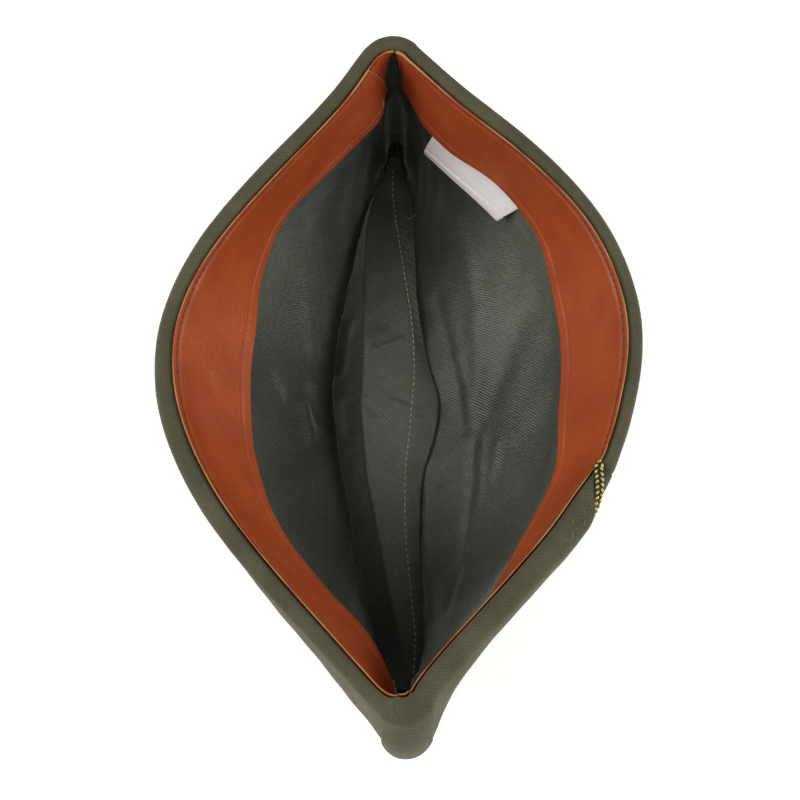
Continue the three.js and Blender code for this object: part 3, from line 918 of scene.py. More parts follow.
@dataclass(frozen=True)
class Crown(SubAssembly):
    """Two wool side panels and the gusset that is folded in between them."""

    columns: int = 150
    rows: int = 60
    top: float = 4.4
    waves: float = 0.5
    gusset_height: float = 19.0
    gusset_overlap: float = 1.5
    gusset_lift: float = 1.2
    gusset_taper: float = 4.0
    gusset_rows: int = 90
    gusset_columns: int = 40
    wave_from: tuple[float, float] = (45.0, 75.0)
    wave_to: tuple[float, float] = (100.0, 112.0)
    section: Table = Table(
        "across up",
        (-1, 0), (-0.75, 0.16), (-0.5, 0.82), (-0.15, 0.98), (0.15, 1), (0.45, 0.85), (0.75, 0.2), (1, 0),
    )

    def panel(self, side: Side) -> Sheet:
        """Shape a side panel.

        Args:
            side: Side of the cap.

        Returns:
            The panel's sheet.
        """
        at = FORM.places(side, self.columns)
        down = np.linspace(self.top, FORM.panel_end, self.rows)[None]
        lower = ease(down, *self.wave_from) * (1 - ease(down, *self.wave_to))
        waves = self.waves * lower * unevenness(at * ROUND_LENGTH, down, 0.4 + side.value)
        outer, inner = (FORM.wall(at, down, off + waves) for off in (LAYERS.wool, 0.0))
        return Sheet(f"crown_panel_{side.name.lower()}", outer, inner, plan_lengths(outer))

    def gusset(self) -> Sheet:
        """Shape the leaf-shaped gusset between the lower folds.

        Returns:
            The gusset's sheet.
        """
        share = np.linspace(0, 1, self.gusset_rows)[:, None]
        across = np.linspace(-1, 1, self.gusset_columns)[None]
        run = FORM.tip_share + (1 - 2 * FORM.tip_share) * share
        edge = FORM.wall(np.where(across < 0, 2 - run, run), FORM.panel_end, 0.0)
        angle = math.pi * share
        rise = self.gusset_height * np.sin(angle) ** self.gusset_taper * self.section.read("up", across)
        surface = np.stack(
            [
                (np.abs(edge[..., 0]) + self.gusset_overlap) * across,
                edge[..., 1] + self.gusset_overlap * np.cos(angle),
                edge[..., 2] + LAYERS.gap + LAYERS.wool + self.gusset_lift + rise,
            ],
            -1,
        )
        upper, lower = faces_of(surface, LAYERS.wool)
        lower[..., 2] = np.maximum(0, lower[..., 2])
        return Sheet("crown_gusset", upper, lower, plan_lengths(upper))

    def build(self) -> list[Piece]:
        """Make the crown.

        Returns:
            The two panels and the gusset.
        """
        pieces = []
        for side in Side:
            sheet = self.panel(side)
            piece = settle(sheet.build(), self.room.wool, Slot.WOOL, f"crown_{side.name.lower()}")
            pieces.append(piece)
        gusset = self.gusset()
        piece = settle(gusset.build(), self.room.wool, Slot.WOOL, "crown_top")
        return [*pieces, piece]


@dataclass(frozen=True)
class TurnUp(SubAssembly):
    """Wool strip rolled over the rim, whose front end laps over its start at the right."""

    band: "Sweatband"
    start: float = -0.93
    end: float = 1.4
    columns: int = 520
    rows: int = 56
    roll_hollow: float = 0.9
    roll_leg: float = 3.0
    lap_span: tuple[float, float] = (0.85, 1.0)
    lap_rise: float = 0.8
    waves: float = 0.45
    wave_span: tuple[float, float] = (-6.0, 14.0)
    shoulder: float = 0.5
    shoulder_from: tuple[float, float] = (0.97, 1.08)
    shoulder_to: tuple[float, float] = (1.33, 1.38)
    shoulder_past: float = -6.0
    shoulder_width: float = 5.0
    crowding: float = 0.1
    under_lap: float = -0.6
    under_lap_edge: float = 1.2
    under_lap_width: float = 6.0
    least_width: float = 4.0
    stitch_slope: float = 1.25
    stitch_rows: tuple[tuple[float, float, float, int], ...] = (
        (2.4, 1.335, 1.365, 5),
        (4.8, 1.335, 1.355, 3),
    )
    edge: Table = Table(
        "run height",
        (-0.95, 50), (-0.7, 59), (-0.4, 64), (0, 60), (0.45, 64), (0.85, 60), (1, 57), (1.08, 54),
        (1.16, 46), (1.24, 32), (1.3, 17.5), (1.35, 4.5), (1.4, -5.9),
    )

    @property
    def roll_centre(self) -> float:
        """Return the length from the rim down to the middle of the roll."""
        return self.roll_hollow + LAYERS.gap + LAYERS.turn_up

    @property
    def roll_reach(self) -> float:
        """Return the length of cloth round the roll."""
        return math.pi * self.roll_centre

    @staticmethod
    def place(run: Array) -> Array:
        """Return places round the cap for runs along the strip."""
        return np.where(run < 0, -run, 2 - run)

    def lift(self, run: Array) -> Array:
        """Return how far the lap stands off, over the start of the strip."""
        return (LAYERS.turn_up + LAYERS.ease + LAYERS.seam) * ease(run, *self.lap_span)

    def inside(self, run: Array) -> Array:
        """Return the gap that the roll leaves inside the crown, up to the back of the sweatband."""
        reach = -self.band.hang.read("off", self.place(run)) - LAYERS.gap - LAYERS.turn_up
        return np.maximum(LAYERS.gap, reach)

    def edge_reach(self, run: Array) -> Array:
        """Return where the free edge lies, in lengths past the outer side of the roll."""
        return self.roll_centre - self.edge.read("height", run)

    def spot(self, run: Array, share: Array, past: Array, proud: Array = 0.0) -> Array:
        """Find points in the strip.

        Args:
            run: Places along the strip.
            share: Shares of its thickness, from 0 inside to 1 outside.
            past: Lengths across it, past the outer side of the roll.
            proud: Heights above its surface.

        Returns:
            The points.
        """
        lift = self.lift(run)
        outside = LAYERS.wool + LAYERS.ease + lift
        thick = share * LAYERS.turn_up + proud
        inside = self.inside(run)
        middle = (outside - inside) / 2
        across = (outside + inside) / 2 + thick
        rise = self.roll_hollow + LAYERS.gap + thick + self.lap_rise * lift
        angle = np.clip(past, 0, self.roll_reach) / self.roll_centre
        beyond = np.maximum(0, np.maximum(-past, past - self.roll_reach))
        down = self.roll_centre + beyond - rise * np.sin(angle)
        return FORM.wall(self.place(run), down, middle + across * np.cos(angle))

    def sheet(self) -> Sheet:
        """Shape the strip.

        Returns:
            The strip's sheet.
        """
        run = np.linspace(self.start, self.end, self.columns)[:, None]
        share = np.linspace(0, 1, self.rows)[None]
        share = share + self.crowding * np.sin(math.pi * share)
        first = self.edge_reach(run)
        covered = self.edge_reach(np.maximum(2 + run, self.under_lap_edge)) + self.under_lap_width
        hidden, shown = np.minimum(covered, 0.7 * self.roll_reach), self.roll_reach + self.roll_leg
        last = np.maximum(np.where(run < self.under_lap, hidden, shown), first + self.least_width)
        past = first + (last - first) * share
        along = lengths_along(self.spot(run, 1.0, 0.5 * self.roll_reach)[:, 0])[:, None]
        waves = self.waves * unevenness(along, past, 0.9) * ease(-past, *self.wave_span)
        shoulder = ease(run, *self.shoulder_from) * (1 - ease(run, *self.shoulder_to))
        waves = waves + self.shoulder * shoulder * hump(past, self.shoulder_past, self.shoulder_width)
        outer, inner = (self.spot(run, level, past, waves) for level in (1.0, 0.0))
        lengths = np.stack(np.broadcast_arrays(along, past), -1)
        return Sheet("turn_up", outer, inner, lengths, rim_steps=3)

    def lap_stitches(self) -> Piece:
        """Sew the two short columns of topstitches beside the lapping edge.

        Returns:
            The stitches.
        """
        starts, ends, normals = [], [], []
        for inset, first, last, count in self.stitch_rows:
            run = np.linspace(first, last, 2 * count)
            past = self.edge_reach(run) + inset * self.stitch_slope
            low, high = (self.spot(run, 1.0, past, proud) for proud in (0.1, 1.1))
            starts.append(low[0::2])
            ends.append(low[1::2])
            normals.append(unit(high - low)[0::2])
        work = Needlework("lap_topstitch", 0.2, 0.16)
        piece = work.sew(np.concatenate(starts), np.concatenate(ends), np.concatenate(normals))
        return settle(piece, self.room.olive_thread, Slot.WOOL)

    def build(self, sewn_on: list[Piece]) -> Piece:
        """Make the turn-up with what is sewn to it.

        Args:
            sewn_on: Pieces that go with it; not used.

        Returns:
            The strip.
        """
        sheet = self.sheet()
        strip = settle(sheet.build(), self.room.wool, Slot.WOOL, "curtain")
        stitches = self.lap_stitches()
        return strip


@dataclass(frozen=True)
class Piping(SubAssembly):
    """Braid along the turn-up's free edge: a dark oval cord wound with two gold strands."""

    turn_up: TurnUp
    half_width: float = 1.9
    half_depth: float = 1.1
    pitch: float = 1.8
    row_offset: float = 0.92
    strand_slant: float = 0.6
    strand_half: float = 0.78
    strand_tilt: float = 0.35
    strand_radius: float = 0.44
    strand_arch: float = 0.3
    strand_sink: float = 0.02
    strand_steps: int = 4
    rough_steps: int = 3000
    core_sides: int = 12
    core_swell: float = 0.05
    from_edge: float = 0.1
    reach: float = 9.6

    @property
    def bend(self) -> float:
        """Return the radius at which the braid goes over the rim."""
        under = LAYERS.turn_up + LAYERS.gap
        return (LAYERS.wool + LAYERS.ease + LAYERS.gap) / 2 + under + self.half_depth

    def centre(self, run: Array, proud: Array) -> Array:
        """Find points along the middle of the braid.

        Args:
            run: Places along the turn-up.
            proud: Heights above the middle of the braid.

        Returns:
            The points.
        """
        reach = self.turn_up.edge_reach(run)
        past = np.minimum(0, reach) + np.maximum(0, reach) * self.bend / self.turn_up.roll_centre
        arc = np.minimum(self.reach, past - self.from_edge - self.half_width)
        middle = (LAYERS.wool + LAYERS.ease - self.turn_up.inside(run)) / 2
        lowered = (ease(run, *self.turn_up.lap_span) - 1) * (LAYERS.turn_up + LAYERS.gap)
        radius = self.bend + lowered + proud
        angle = np.maximum(0, arc) / self.bend
        down = self.turn_up.roll_centre - np.minimum(0, arc) - radius * np.sin(angle)
        return FORM.wall(self.turn_up.place(run), down, middle + radius * np.cos(angle))

    def frames(self) -> tuple[Array, Array, Array, Array]:
        """Lay even steps along the braid.

        Returns:
            Points, and directions along, across and out of the braid at each.
        """
        run = np.linspace(self.turn_up.start, self.turn_up.end, self.rough_steps)
        rough = self.centre(run, 0.0)
        length = lengths_along(rough)
        even = np.interp(np.arange(0, length[-1], self.pitch / self.strand_steps), length, run)
        points = self.centre(even, 0.0)
        along = unit(np.gradient(points, axis=0))
        out = self.centre(even, 1.0) - points
        across = unit(np.cross(along, out))
        return points, along, across, np.cross(across, along)

    def build(self) -> list[Piece]:
        """Make the braid.

        Returns:
            The core and the gold strands.
        """
        points, along, across, out = self.frames()
        swell = 1 + self.core_swell * np.cos(math.pi * np.arange(len(points)))[:, None]
        wide, deep = across * self.half_width * swell, out * self.half_depth
        core = cord_piece("piping_core", points, wide, deep, self.core_sides)
        settle(core, self.room.braid_core, Slot.BRAID, "piping")
        starts, ends, normals = [], [], []
        for hand, first in ((1, 0), (-1, self.strand_steps // 2)):
            row, slant = hand * self.row_offset, -hand * self.strand_slant
            pick = slice(first, None, self.strand_steps)
            height = self.half_depth * math.sqrt(1 - (row / self.half_width) ** 2)
            middle = points[pick] + across[pick] * row + out[pick] * (height - self.strand_sink)
            reach = along[pick] * math.cos(slant) + across[pick] * math.sin(slant)
            starts.append(middle - reach * self.strand_half)
            ends.append(middle + reach * self.strand_half)
            normals.append(unit(out[pick] + across[pick] * row * self.strand_tilt))
        work = Needlework("piping_gold", self.strand_radius, self.strand_arch, sides=8, steps=6)
        strands = work.sew(np.concatenate(starts), np.concatenate(ends), np.concatenate(normals))
        return [core, settle(strands, self.room.gold, Slot.BRAID)]


@dataclass(frozen=True)
class Dent:
    """Soft dent in the sweatband's face."""

    depth: float
    at: float
    at_width: float
    across: float
    across_width: float

    def read(self, at: Array, across: Array) -> Array:
        """Return the depth of the dent at places on the band."""
        return self.depth * hump(at, self.at, self.at_width) * hump(across, self.across, self.across_width)


@dataclass(frozen=True)
class Sweatband(SubAssembly):
    """Leather band sewn inside the rim, with its ends apart at the back."""

    columns: int = 420
    start: float = 0.006
    end: float = 1.994
    spread: tuple[float, float] = (0.04, 0.056)
    top: float = 0.5
    width: float = 36.0
    curl: float = 1.3
    waves: float = 0.25
    wave_span: tuple[float, float] = (3.0, 12.0)
    groove_at: float = 2.1
    groove_half: float = 0.55
    groove_depth: float = 0.3
    skive: float = 0.36
    skive_width: float = 4.0
    skive_ends: float = 0.15
    slit_curve: float = 0.7
    corner: float = 3.0
    corner_pull: float = 0.006
    corner_share: float = 0.004
    line_from_edge: float = 3.9
    line_half: float = 0.5
    line_depth: float = 0.45
    fine_step: float = 0.3
    coarse_step: float = 1.3
    stitch_inset: float = 0.03
    stitch_pitch: float = 2.6
    stitch_ends: tuple[float, float] = (0.2, 2.1)
    stitch_proud: float = 0.08
    layer_from: float = 1.857
    layer_low: float = 0.5
    layer_slope: float = 490.0
    layer_end: float = 1.926
    layer_rise: float = 0.5
    layer_start: float = 0.004
    layer_soft: float = 0.4
    crease_at: float = 0.034
    crease_half: float = 0.006
    crease_depth: float = 0.5
    crease_from: tuple[float, float] = (8.0, 12.0)
    crease_to: tuple[float, float] = (24.0, 30.0)
    tack_ends: tuple[tuple[float, float], ...] = ((1.862, 34.4), (1.874, 31.0))
    dents: tuple[Dent, ...] = (Dent(1.1, 1.44, 0.018, 10.0, 5.0), Dent(0.7, 1.475, 0.008, 17.0, 3.0))
    hang: Table = Table(
        "at off lean",
        (0, -2.4, 0.8), (0.06, -2.3, 0.8), (0.12, -2.3, 1.4), (0.18, -2.6, 4.3), (0.24, -2.9, 3.9),
        (0.3, -2.9, -0.4), (0.36, -2.9, -0.6), (0.42, -3.1, 3.6), (0.48, -3.2, 5.3), (0.54, -2.9, 5.2),
        (0.58, -2.4, 2.6), (0.595, -2.4, 2.2), (0.61, -3.9, 0.8), (0.63, -4.8, 0.2), (0.66, -3.8, 0),
        (0.7, -2.6, -1.2), (0.74, -2.2, -1.2), (0.82, -2.2, 1), (0.88, -2.3, 2.2), (0.92, -2.8, 2.2),
        (0.95, -4, 1.2), (1, -4.7, 0.6), (1.05, -4, 1.2), (1.08, -2.8, 2.2), (1.12, -2.2, 3.6),
        (1.18, -2.3, 8.8), (1.24, -2.6, 11.4), (1.3, -3.2, 8.6), (1.36, -4.1, 5.6), (1.42, -4.7, 6.4),
        (1.48, -4.8, 9.2), (1.54, -4.1, 9.1), (1.6, -3.7, 3.6), (1.66, -3.3, -0.5), (1.72, -2.9, 2.2),
        (1.78, -2.5, 4.4), (1.84, -2.2, 5.8), (1.9, -2.1, 2), (1.94, -2.2, 1.2), (2, -2.4, 0.8),
    )

    def off(self, at: Array, down: Array) -> Array:
        """Return how far the back of the band stands in from the wall."""
        share = np.maximum(0, down - self.top) / self.width
        return self.hang.read("off", at) - self.hang.read("lean", at) * share**self.curl

    def relief(self, at: Array, across: Array) -> Array:
        """Return the grooves and soft dents in the band's face, as depths."""
        groove = self.groove_depth * hump(across, self.groove_at, self.groove_half)
        line = self.line_depth * hump(across, self.width - self.line_from_edge, self.line_half)
        dents = sum(dent.read(at, across) for dent in self.dents)
        slope = self.layer_low + (at - self.layer_from) * self.layer_slope
        layer = self.layer_rise * ease(at, self.layer_from, self.layer_from + self.layer_start)
        layer = layer * ease(slope - across, -self.layer_soft, self.layer_soft)
        crease = self.crease_depth * hump(at, self.crease_at, self.crease_half)
        crease = crease * ease(across, *self.crease_from) * (1 - ease(across, *self.crease_to))
        return groove + line + dents + layer + crease

    def across_steps(self) -> Array:
        """Return steps across the band, close where a groove or an edge runs."""
        fine = np.arange(0, 4.2, self.fine_step)
        middle = np.arange(4.8, self.width - 6.2, self.coarse_step)
        line = np.arange(self.width - 6, self.width + 0.01, self.fine_step)
        return np.concatenate([fine, middle, line])

    def thickness(self, at: Array, across: Array) -> Array:
        """Return the leather's thickness, pared thin along its upper edge but less so at the back."""
        back = hump(at, 0.0, self.skive_ends) + hump(at, 2.0, self.skive_ends)
        pared = self.skive + (1 - self.skive) * back
        return LAYERS.leather * (pared + (1 - pared) * ease(across, 0, self.skive_width))

    def faces(self, at: Array, across: Array) -> tuple[Array, Array]:
        """Find the back and the face of the band."""
        down = self.top + across
        waves = self.waves * unevenness(at * ROUND_LENGTH, across * 1.5, 2.2) * ease(across, *self.wave_span)
        back = self.off(at, down) + waves
        face = back - self.thickness(at, across) + self.relief(at, across)
        return FORM.wall(at, down, back), FORM.wall(at, down, face)

    def stitches(self) -> Piece:
        """Sew the band's upper edge along its groove.

        Returns:
            The stitches.
        """
        at = np.linspace(self.start + self.stitch_inset, self.end - self.stitch_inset, 4000)
        down = self.top + self.groove_at
        line = FORM.wall(at, down, self.off(at, down) - self.thickness(at, self.groove_at))
        length = lengths_along(line)
        first = np.arange(1, length[-1] - 3, self.stitch_pitch)
        one, two = (np.interp(first + step, length, at) for step in self.stitch_ends)
        ends = []
        for place in (one, two):
            surface = self.off(place, down) - self.thickness(place, self.groove_at) + self.groove_depth
            ends.append(FORM.wall(place, down, surface - self.stitch_proud))
        inward = unit(FORM.wall(one, down, -8.0) - FORM.wall(one, down, -3.0))
        piece = Needlework("sweatband_stitches", 0.2, 0.12).sew(ends[0], ends[1], inward)
        return settle(piece, self.room.brown_thread, Slot.LEATHER)

    def on_face(self, at: Array, across: Array, proud: float) -> Array:
        """Return points that stand proud of the band's face."""
        down = self.top + across
        return FORM.wall(at, down, self.off(at, down) - self.thickness(at, across) - proud)

    def lap_edge(self) -> Piece:
        """Lay the cut edge of the upper layer that slants across the left end.

        Returns:
            The edge.
        """
        at = np.linspace(self.layer_from, self.layer_end, 24)
        across = self.layer_low + (at - self.layer_from) * self.layer_slope
        centre = self.on_face(at, across, 0.0)
        along = unit(np.gradient(centre, axis=0))
        out = unit(self.on_face(at, across, 1.0) - centre)
        piece = cord_piece("sweatband_lap_edge", centre, unit(np.cross(along, out)) * 0.3, out * 0.22, 6)
        return settle(piece, self.room.raw_edge, Slot.LEATHER)

    def tack(self) -> Piece:
        """Sew the one pale tack in the left end.

        Returns:
            The tack.
        """
        at, across = np.array(self.tack_ends).T
        low, high = (self.on_face(at, across, proud) for proud in (0.1, 1.1))
        piece = Needlework("sweatband_tack", 0.24, 0.25).sew(low[:1], low[1:], unit(high - low)[:1])
        return settle(piece, self.room.tan_thread, Slot.LEATHER)

    def build(self) -> Piece:
        """Make the sweatband with its stitches.

        Returns:
            The band.
        """
        across = self.across_steps()[None]
        first, last = (spread * (across / self.width) ** self.slit_curve for spread in self.spread)
        share = np.linspace(0, 1, self.columns)[:, None]
        at = self.start + first + (self.end - self.start - first - last) * share
        pull = self.corner_pull * (1 - ease(self.width - across, 0, self.corner))
        at = at + pull * (hump(share, 0.0, self.corner_share) - hump(share, 1.0, self.corner_share))
        back, face = self.faces(at, across)
        along = lengths_along(face[:, 0])[:, None]
        lengths = np.stack(np.broadcast_arrays(along, across), -1)
        sheet = Sheet("sweatband_leather", face, back, lengths, rim_steps=3)
        band = settle(sheet.build(), self.room.leather, Slot.LEATHER, "sweatband")
        sewn = [self.stitches(), self.lap_edge(), self.tack()]
        return band


@dataclass(frozen=True)
class Crease:
    """Fold in the lining, seen from above."""

    path: tuple[tuple[float, float], ...]
    height: float
    width: float

    def rise(self, plan: Array) -> Array:
        """Find how far the fold lifts the lining.

        Args:
            plan: Points in plan.

        Returns:
            Lift of the cloth at each point.
        """
        nearest = np.full(plan.shape[:-1], 1e9)
        for start, end in zip(self.path, self.path[1:]):
            one, two = np.array(start, float), np.array(end, float)
            along = two - one
            share = np.clip(((plan - one) @ along) / (along @ along), 0, 1)
            nearest = np.minimum(nearest, np.linalg.norm(plan - one - share[..., None] * along, axis=-1))
        return self.height * hump(nearest, 0.0, self.width)


@dataclass(frozen=True)
class Drape:
    """Way in which a side panel of the lining leaves the wall and meets the centre strip.

    It leaves at a length down the wall, and meets the strip at two columns of the folds, a little
    under each. The turn is its direction there, and the swings are the pulls of its two ends.
    """

    leaves: float
    meets: tuple[str, str]
    under: tuple[float, float]
    turn: tuple[float, float, float]
    swing: tuple[float, float]


@dataclass(frozen=True)
class Lining(SubAssembly):
    """Satin lining: two side panels and a centre strip that is folded up between them."""

    top: float = 8.0
    right: Drape = Drape(52.0, ("hem", "edge"), (1.5, 2.6), (-1.0, 0.0, -0.45), (0.7, 0.6))
    left: Drape = Drape(64.0, ("valley", "floor"), (0.4, 0.4), (0.6, 0.0, -0.9), (0.8, 0.6))
    loose_ends: float = 90.0
    loose_span: tuple[float, float] = (0.06, 0.2)
    last_step: float = 114.0
    columns: int = 240
    wall_rows: int = 46
    loose_rows: int = 70
    strip_rows: int = 260
    strip_columns: tuple[int, ...] = (18, 38, 30)
    strip_ends: tuple[float, float] = (111.0, -92.0)
    stitch_pitch: float = 2.4
    pinch: float = 6.0
    pinch_ends: tuple[float, float] = (0.05, 0.15)
    pinch_from: tuple[float, float] = (42.0, 66.0)
    pinch_to: tuple[float, float] = (92.0, 106.0)
    pinch_most: float = 0.45
    calm_ends: tuple[float, float] = (0.02, 0.1)
    calm_from: tuple[float, float] = (38.0, 48.0)
    calm_to: tuple[float, float] = (108.0, 113.0)
    calming: float = 0.7
    panel_waves: float = 0.5
    strip_waves: float = 0.35
    strip_round: int = 3
    strip_tuck: float = 0.6
    pucker: float = 0.16
    pucker_pitch: float = 3.3
    pucker_beside: tuple[float, float] = (2.2, 1.8)
    seam_depth: float = 0.3
    seam_half: float = 0.7
    head: tuple[float, float, float] = (0.0, 15.0, 90.0)
    head_share: tuple[float, float, float] = (1.0, 0.75, 1.0)
    folds: Table = Table(
        "y valley left stitch hem floor ridge edge",
        (-98, -3, 1, 2, 3, 21, 22, 21.5),
        (-90, -5, 1.2, 3.2, 4.8, 12.5, 14, 13.5),
        (-73, -10.4, -1.2, 4.3, 7, 8, 13.5, 12.5),
        (-55, -14.5, -5, 2.8, 6.4, 6, 17, 15.5),
        (-35, -18, -8.6, 1.3, 6.3, 5, 22, 20),
        (-13, -21.6, -12.4, 1.6, 8, 5, 25.5, 23),
        (2, -24, -13.7, 3.3, 12.5, 5, 27, 24),
        (15, -25.3, -14.1, 4.6, 13.8, 5, 27.5, 23.5),
        (27, -25.4, -13.6, 5.4, 11, 5, 27.5, 22.5),
        (42, -24, -13.1, 5, 8.2, 5, 26.5, 20.5),
        (60, -20.5, -12.6, 2.8, 6.2, 5.5, 23.5, 16.5),
        (76, -16.8, -12.1, 0.7, 5.8, 6, 19.5, 12.5),
        (90, -13.3, -10.6, -0.8, 5.8, 7, 15.5, 10.5),
        (100, -9.5, -8, -1.6, 4.8, 9, 12.5, 10.5),
        (106, -5.5, -4.6, -1.5, 2.6, 13, 14.5, 13.5),
        (112, -2, -1.7, -1, 0.4, 24, 24.6, 24.3),
    )
    creases: tuple[Crease, ...] = (
        Crease(((19, 92), (26, 72), (29, 50), (29, 22), (27, 5)), 0.7, 2.6),
        Crease(((15, 55), (19, 34), (22, 18), (24, 2)), -0.7, 2.0),
        Crease(((22, 32), (25, 20), (25, 6)), 0.45, 1.7),
        Crease(((27, -3), (26, -22), (23, -44), (16, -67)), -0.7, 1.6),
        Crease(((31, 1), (29, -24)), 0.5, 1.6),
        Crease(((36, -4), (33, -18)), 0.4, 1.6),
        Crease(((10, -8), (9, -34), (10, -66)), 0.5, 1.4),
        Crease(((11, -41), (15, -44), (18, -48)), 0.5, 0.9),
        Crease(((44, 40), (36, 20), (32, 7)), -1.2, 5.0),
        Crease(((-37, 90), (-35, 66), (-33, 36)), 1.0, 2.6),
        Crease(((-31, 75), (-29, 45)), 0.7, 2.0),
        Crease(((-48, 22), (-42, 12), (-36, 22), (-30, 10)), -1.3, 3.0),
        Crease(((-35, 16), (-34, 2)), 0.9, 2.0),
        Crease(((-19, 14), (-18, 6)), 1.3, 3.0),
        Crease(((-19, 48), (-22, 30)), -1.0, 2.5),
        Crease(((-9, 34), (1, 38)), 0.45, 1.0),
        Crease(((-13, 13), (-9, 9)), -0.5, 1.0),
        Crease(((-3, 16), (4, 13)), -0.45, 1.1),
        Crease(((-8, 62), (-6, 44)), -0.7, 2.6),
    )

    def dressed(self, surface: Array, lift: Array) -> tuple[Array, Array, Array]:
        """Raise folds on a grid and give it two faces.

        Args:
            surface: Grid of points along the middle of the cloth.
            lift: Height of the folds toward the inside of the cap.

        Returns:
            The grid with its folds, the face that shows and the back.
        """
        inside = unit(np.array(self.head) - surface * np.array(self.head_share))
        normal = unit(np.cross(np.gradient(surface, axis=0), np.gradient(surface, axis=1)))
        normal *= np.sign((normal * inside).sum(-1, keepdims=True))
        folded = surface + normal * lift[..., None]
        return folded, *faces_of(folded, LAYERS.satin, normal)

    def panel(self, side: Side) -> Sheet:
        """Shape a side panel: down the wall, then loose to the centre strip.

        Args:
            side: Side of the cap.

        Returns:
            The panel's sheet.
        """
        at = FORM.places(side, self.columns)
        end = np.abs(at - np.round(at))
        drape = self.right if side is Side.RIGHT else self.left
        leaves = self.loose_ends + (drape.leaves - self.loose_ends) * ease(end, *self.loose_span)
        down = self.top + (leaves - self.top) * np.linspace(0, 1, self.wall_rows)[None]
        off = -LAYERS.gap - LAYERS.satin / 2
        hung = FORM.wall(at, down, off)
        first, before = hung[:, -1:], hung[:, -2:-1]
        far = FORM.wall(at, FORM.panel_end, 0.0)[..., 1]
        across, height = (self.folds.read(name, far) - under for name, under in zip(drape.meets, drape.under))
        last = np.stack([across, far, height], -1)
        chord = np.linalg.norm(last - first, axis=-1, keepdims=True)
        leave = unit(first - before) * chord * drape.swing[0]
        arrive = unit(np.array(drape.turn)) * chord * drape.swing[1]
        t = np.linspace(0, 1, self.loose_rows + 1)[None, 1:, None]
        loose = first * (1 + 2 * t) * (1 - t) ** 2 + leave * t * (1 - t) ** 2
        loose = loose + last * t * t * (3 - 2 * t) - arrive * t * t * (1 - t)
        surface = np.concatenate([hung, loose], axis=1)
        steps = np.concatenate([down, leaves + (self.last_step - leaves) * t[..., 0]], axis=1)
        folds = sum(crease.rise(surface[..., :2]) for crease in self.creases)
        waves = self.panel_waves * unevenness(at * ROUND_LENGTH, steps * 1.4, 1.3 * side.value)
        pinch = self.pinch * (1 - ease(end, *self.pinch_ends))
        pinch = pinch * ease(steps, *self.pinch_from) * (1 - ease(steps, *self.pinch_to))
        pinch = np.minimum(pinch, self.pinch_most * np.abs(surface[..., 0]))
        calm = ease(steps, *self.calm_from) * (1 - self.calming * ease(steps, *self.calm_to))
        calm = calm * ease(end, *self.calm_ends)
        lift = (folds + waves) * calm + pinch
        folded, face, back = self.dressed(surface, lift)
        return Sheet(f"lining_panel_{side.name.lower()}", face, back, plan_lengths(folded), rim_steps=1)

    def strip(self) -> tuple[Sheet, Array]:
        """Shape the centre strip, from its hem on the right over the ridge to the left valley.

        Returns:
            The strip's sheet, and the line of its topstitch.
        """
        y = np.linspace(*self.strip_ends, self.strip_rows)[:, None]
        read = {name: self.folds.read(name, y) for name in self.folds.columns}
        tuck = self.strip_tuck
        across = [read["hem"], read["stitch"], read["left"], read["valley"] + tuck]
        height = [read["edge"], read["ridge"], read["ridge"] - tuck, read["floor"] + tuck]
        xs, zs = [], []
        for index, count in enumerate(self.strip_columns):
            share = np.linspace(0, 1, count, endpoint=index == 2)[None]
            xs.append(across[index] + (across[index + 1] - across[index]) * share)
            zs.append(height[index] + (height[index + 1] - height[index]) * share)
        x, z = np.concatenate(xs, axis=1), np.concatenate(zs, axis=1)
        for _ in range(self.strip_round):
            z[:, 1:-1] = (z[:, :-2] + 2 * z[:, 1:-1] + z[:, 2:]) / 4
        surface = np.stack([x, np.broadcast_to(y, x.shape), z], -1)
        folds = sum(crease.rise(surface[..., :2]) for crease in self.creases)
        from_seam = x - read["stitch"]
        pucker = self.pucker * np.sin(y * 2 * math.pi / self.pucker_pitch)
        pucker = pucker * hump(from_seam, *self.pucker_beside)
        pucker = pucker - self.seam_depth * hump(from_seam, 0.0, self.seam_half)
        waves = self.strip_waves * unevenness(y * 1.3, x * 2.0, 0.7)
        folded, face, back = self.dressed(surface, folds + pucker + waves)
        sheet = Sheet("lining_strip_satin", face, back, plan_lengths(folded), rim_steps=1)
        return sheet, face[:, self.strip_columns[0]]

    def topstitch(self, line: Array) -> Piece:
        """Sew the tan topstitch along the strip.

        Args:
            line: Points along the strip's face.

        Returns:
            The stitches.
        """
        length = lengths_along(line)
        first = np.arange(6, length[-1] - 8, self.stitch_pitch)
        up = np.tile(np.array([0.0, 0.0, 1.0]), (len(first), 1))
        ends = []
        for step in (0.2, 1.8):
            spots = [np.interp(first + step, length, line[:, axis]) for axis in range(3)]
            ends.append(np.stack(spots, -1) + up * 0.06)
        piece = Needlework("lining_topstitch", 0.2, 0.16).sew(*ends, up)
        return settle(piece, self.room.tan_thread, Slot.SATIN)

    def loose_thread(self) -> Piece:
        """Lay the short loose thread on the hem, near the back.

        Returns:
            The thread.
        """
        rows = ((0, 2.6, 91, 1.0), (1, 4.2, 90, 1.5), (2, 5.6, 90.5, 1.6), (3, 7.0, 92, 0.9))
        spots = Table("step x y up", *rows)
        step = np.linspace(0, 3, 22)
        y = spots.read("y", step)
        z = self.folds.read("edge", y) + LAYERS.satin / 2 + spots.read("up", step)
        centre = np.stack([spots.read("x", step), y, z], -1)
        along = unit(np.gradient(centre, axis=0))
        side = unit(np.cross(along, np.array([0.0, 0.0, 1.0])))
        piece = cord_piece("loose_thread", centre, side * 0.16, np.cross(side, along) * 0.16, 6)
        return settle(piece, self.room.tan_thread, Slot.SATIN)

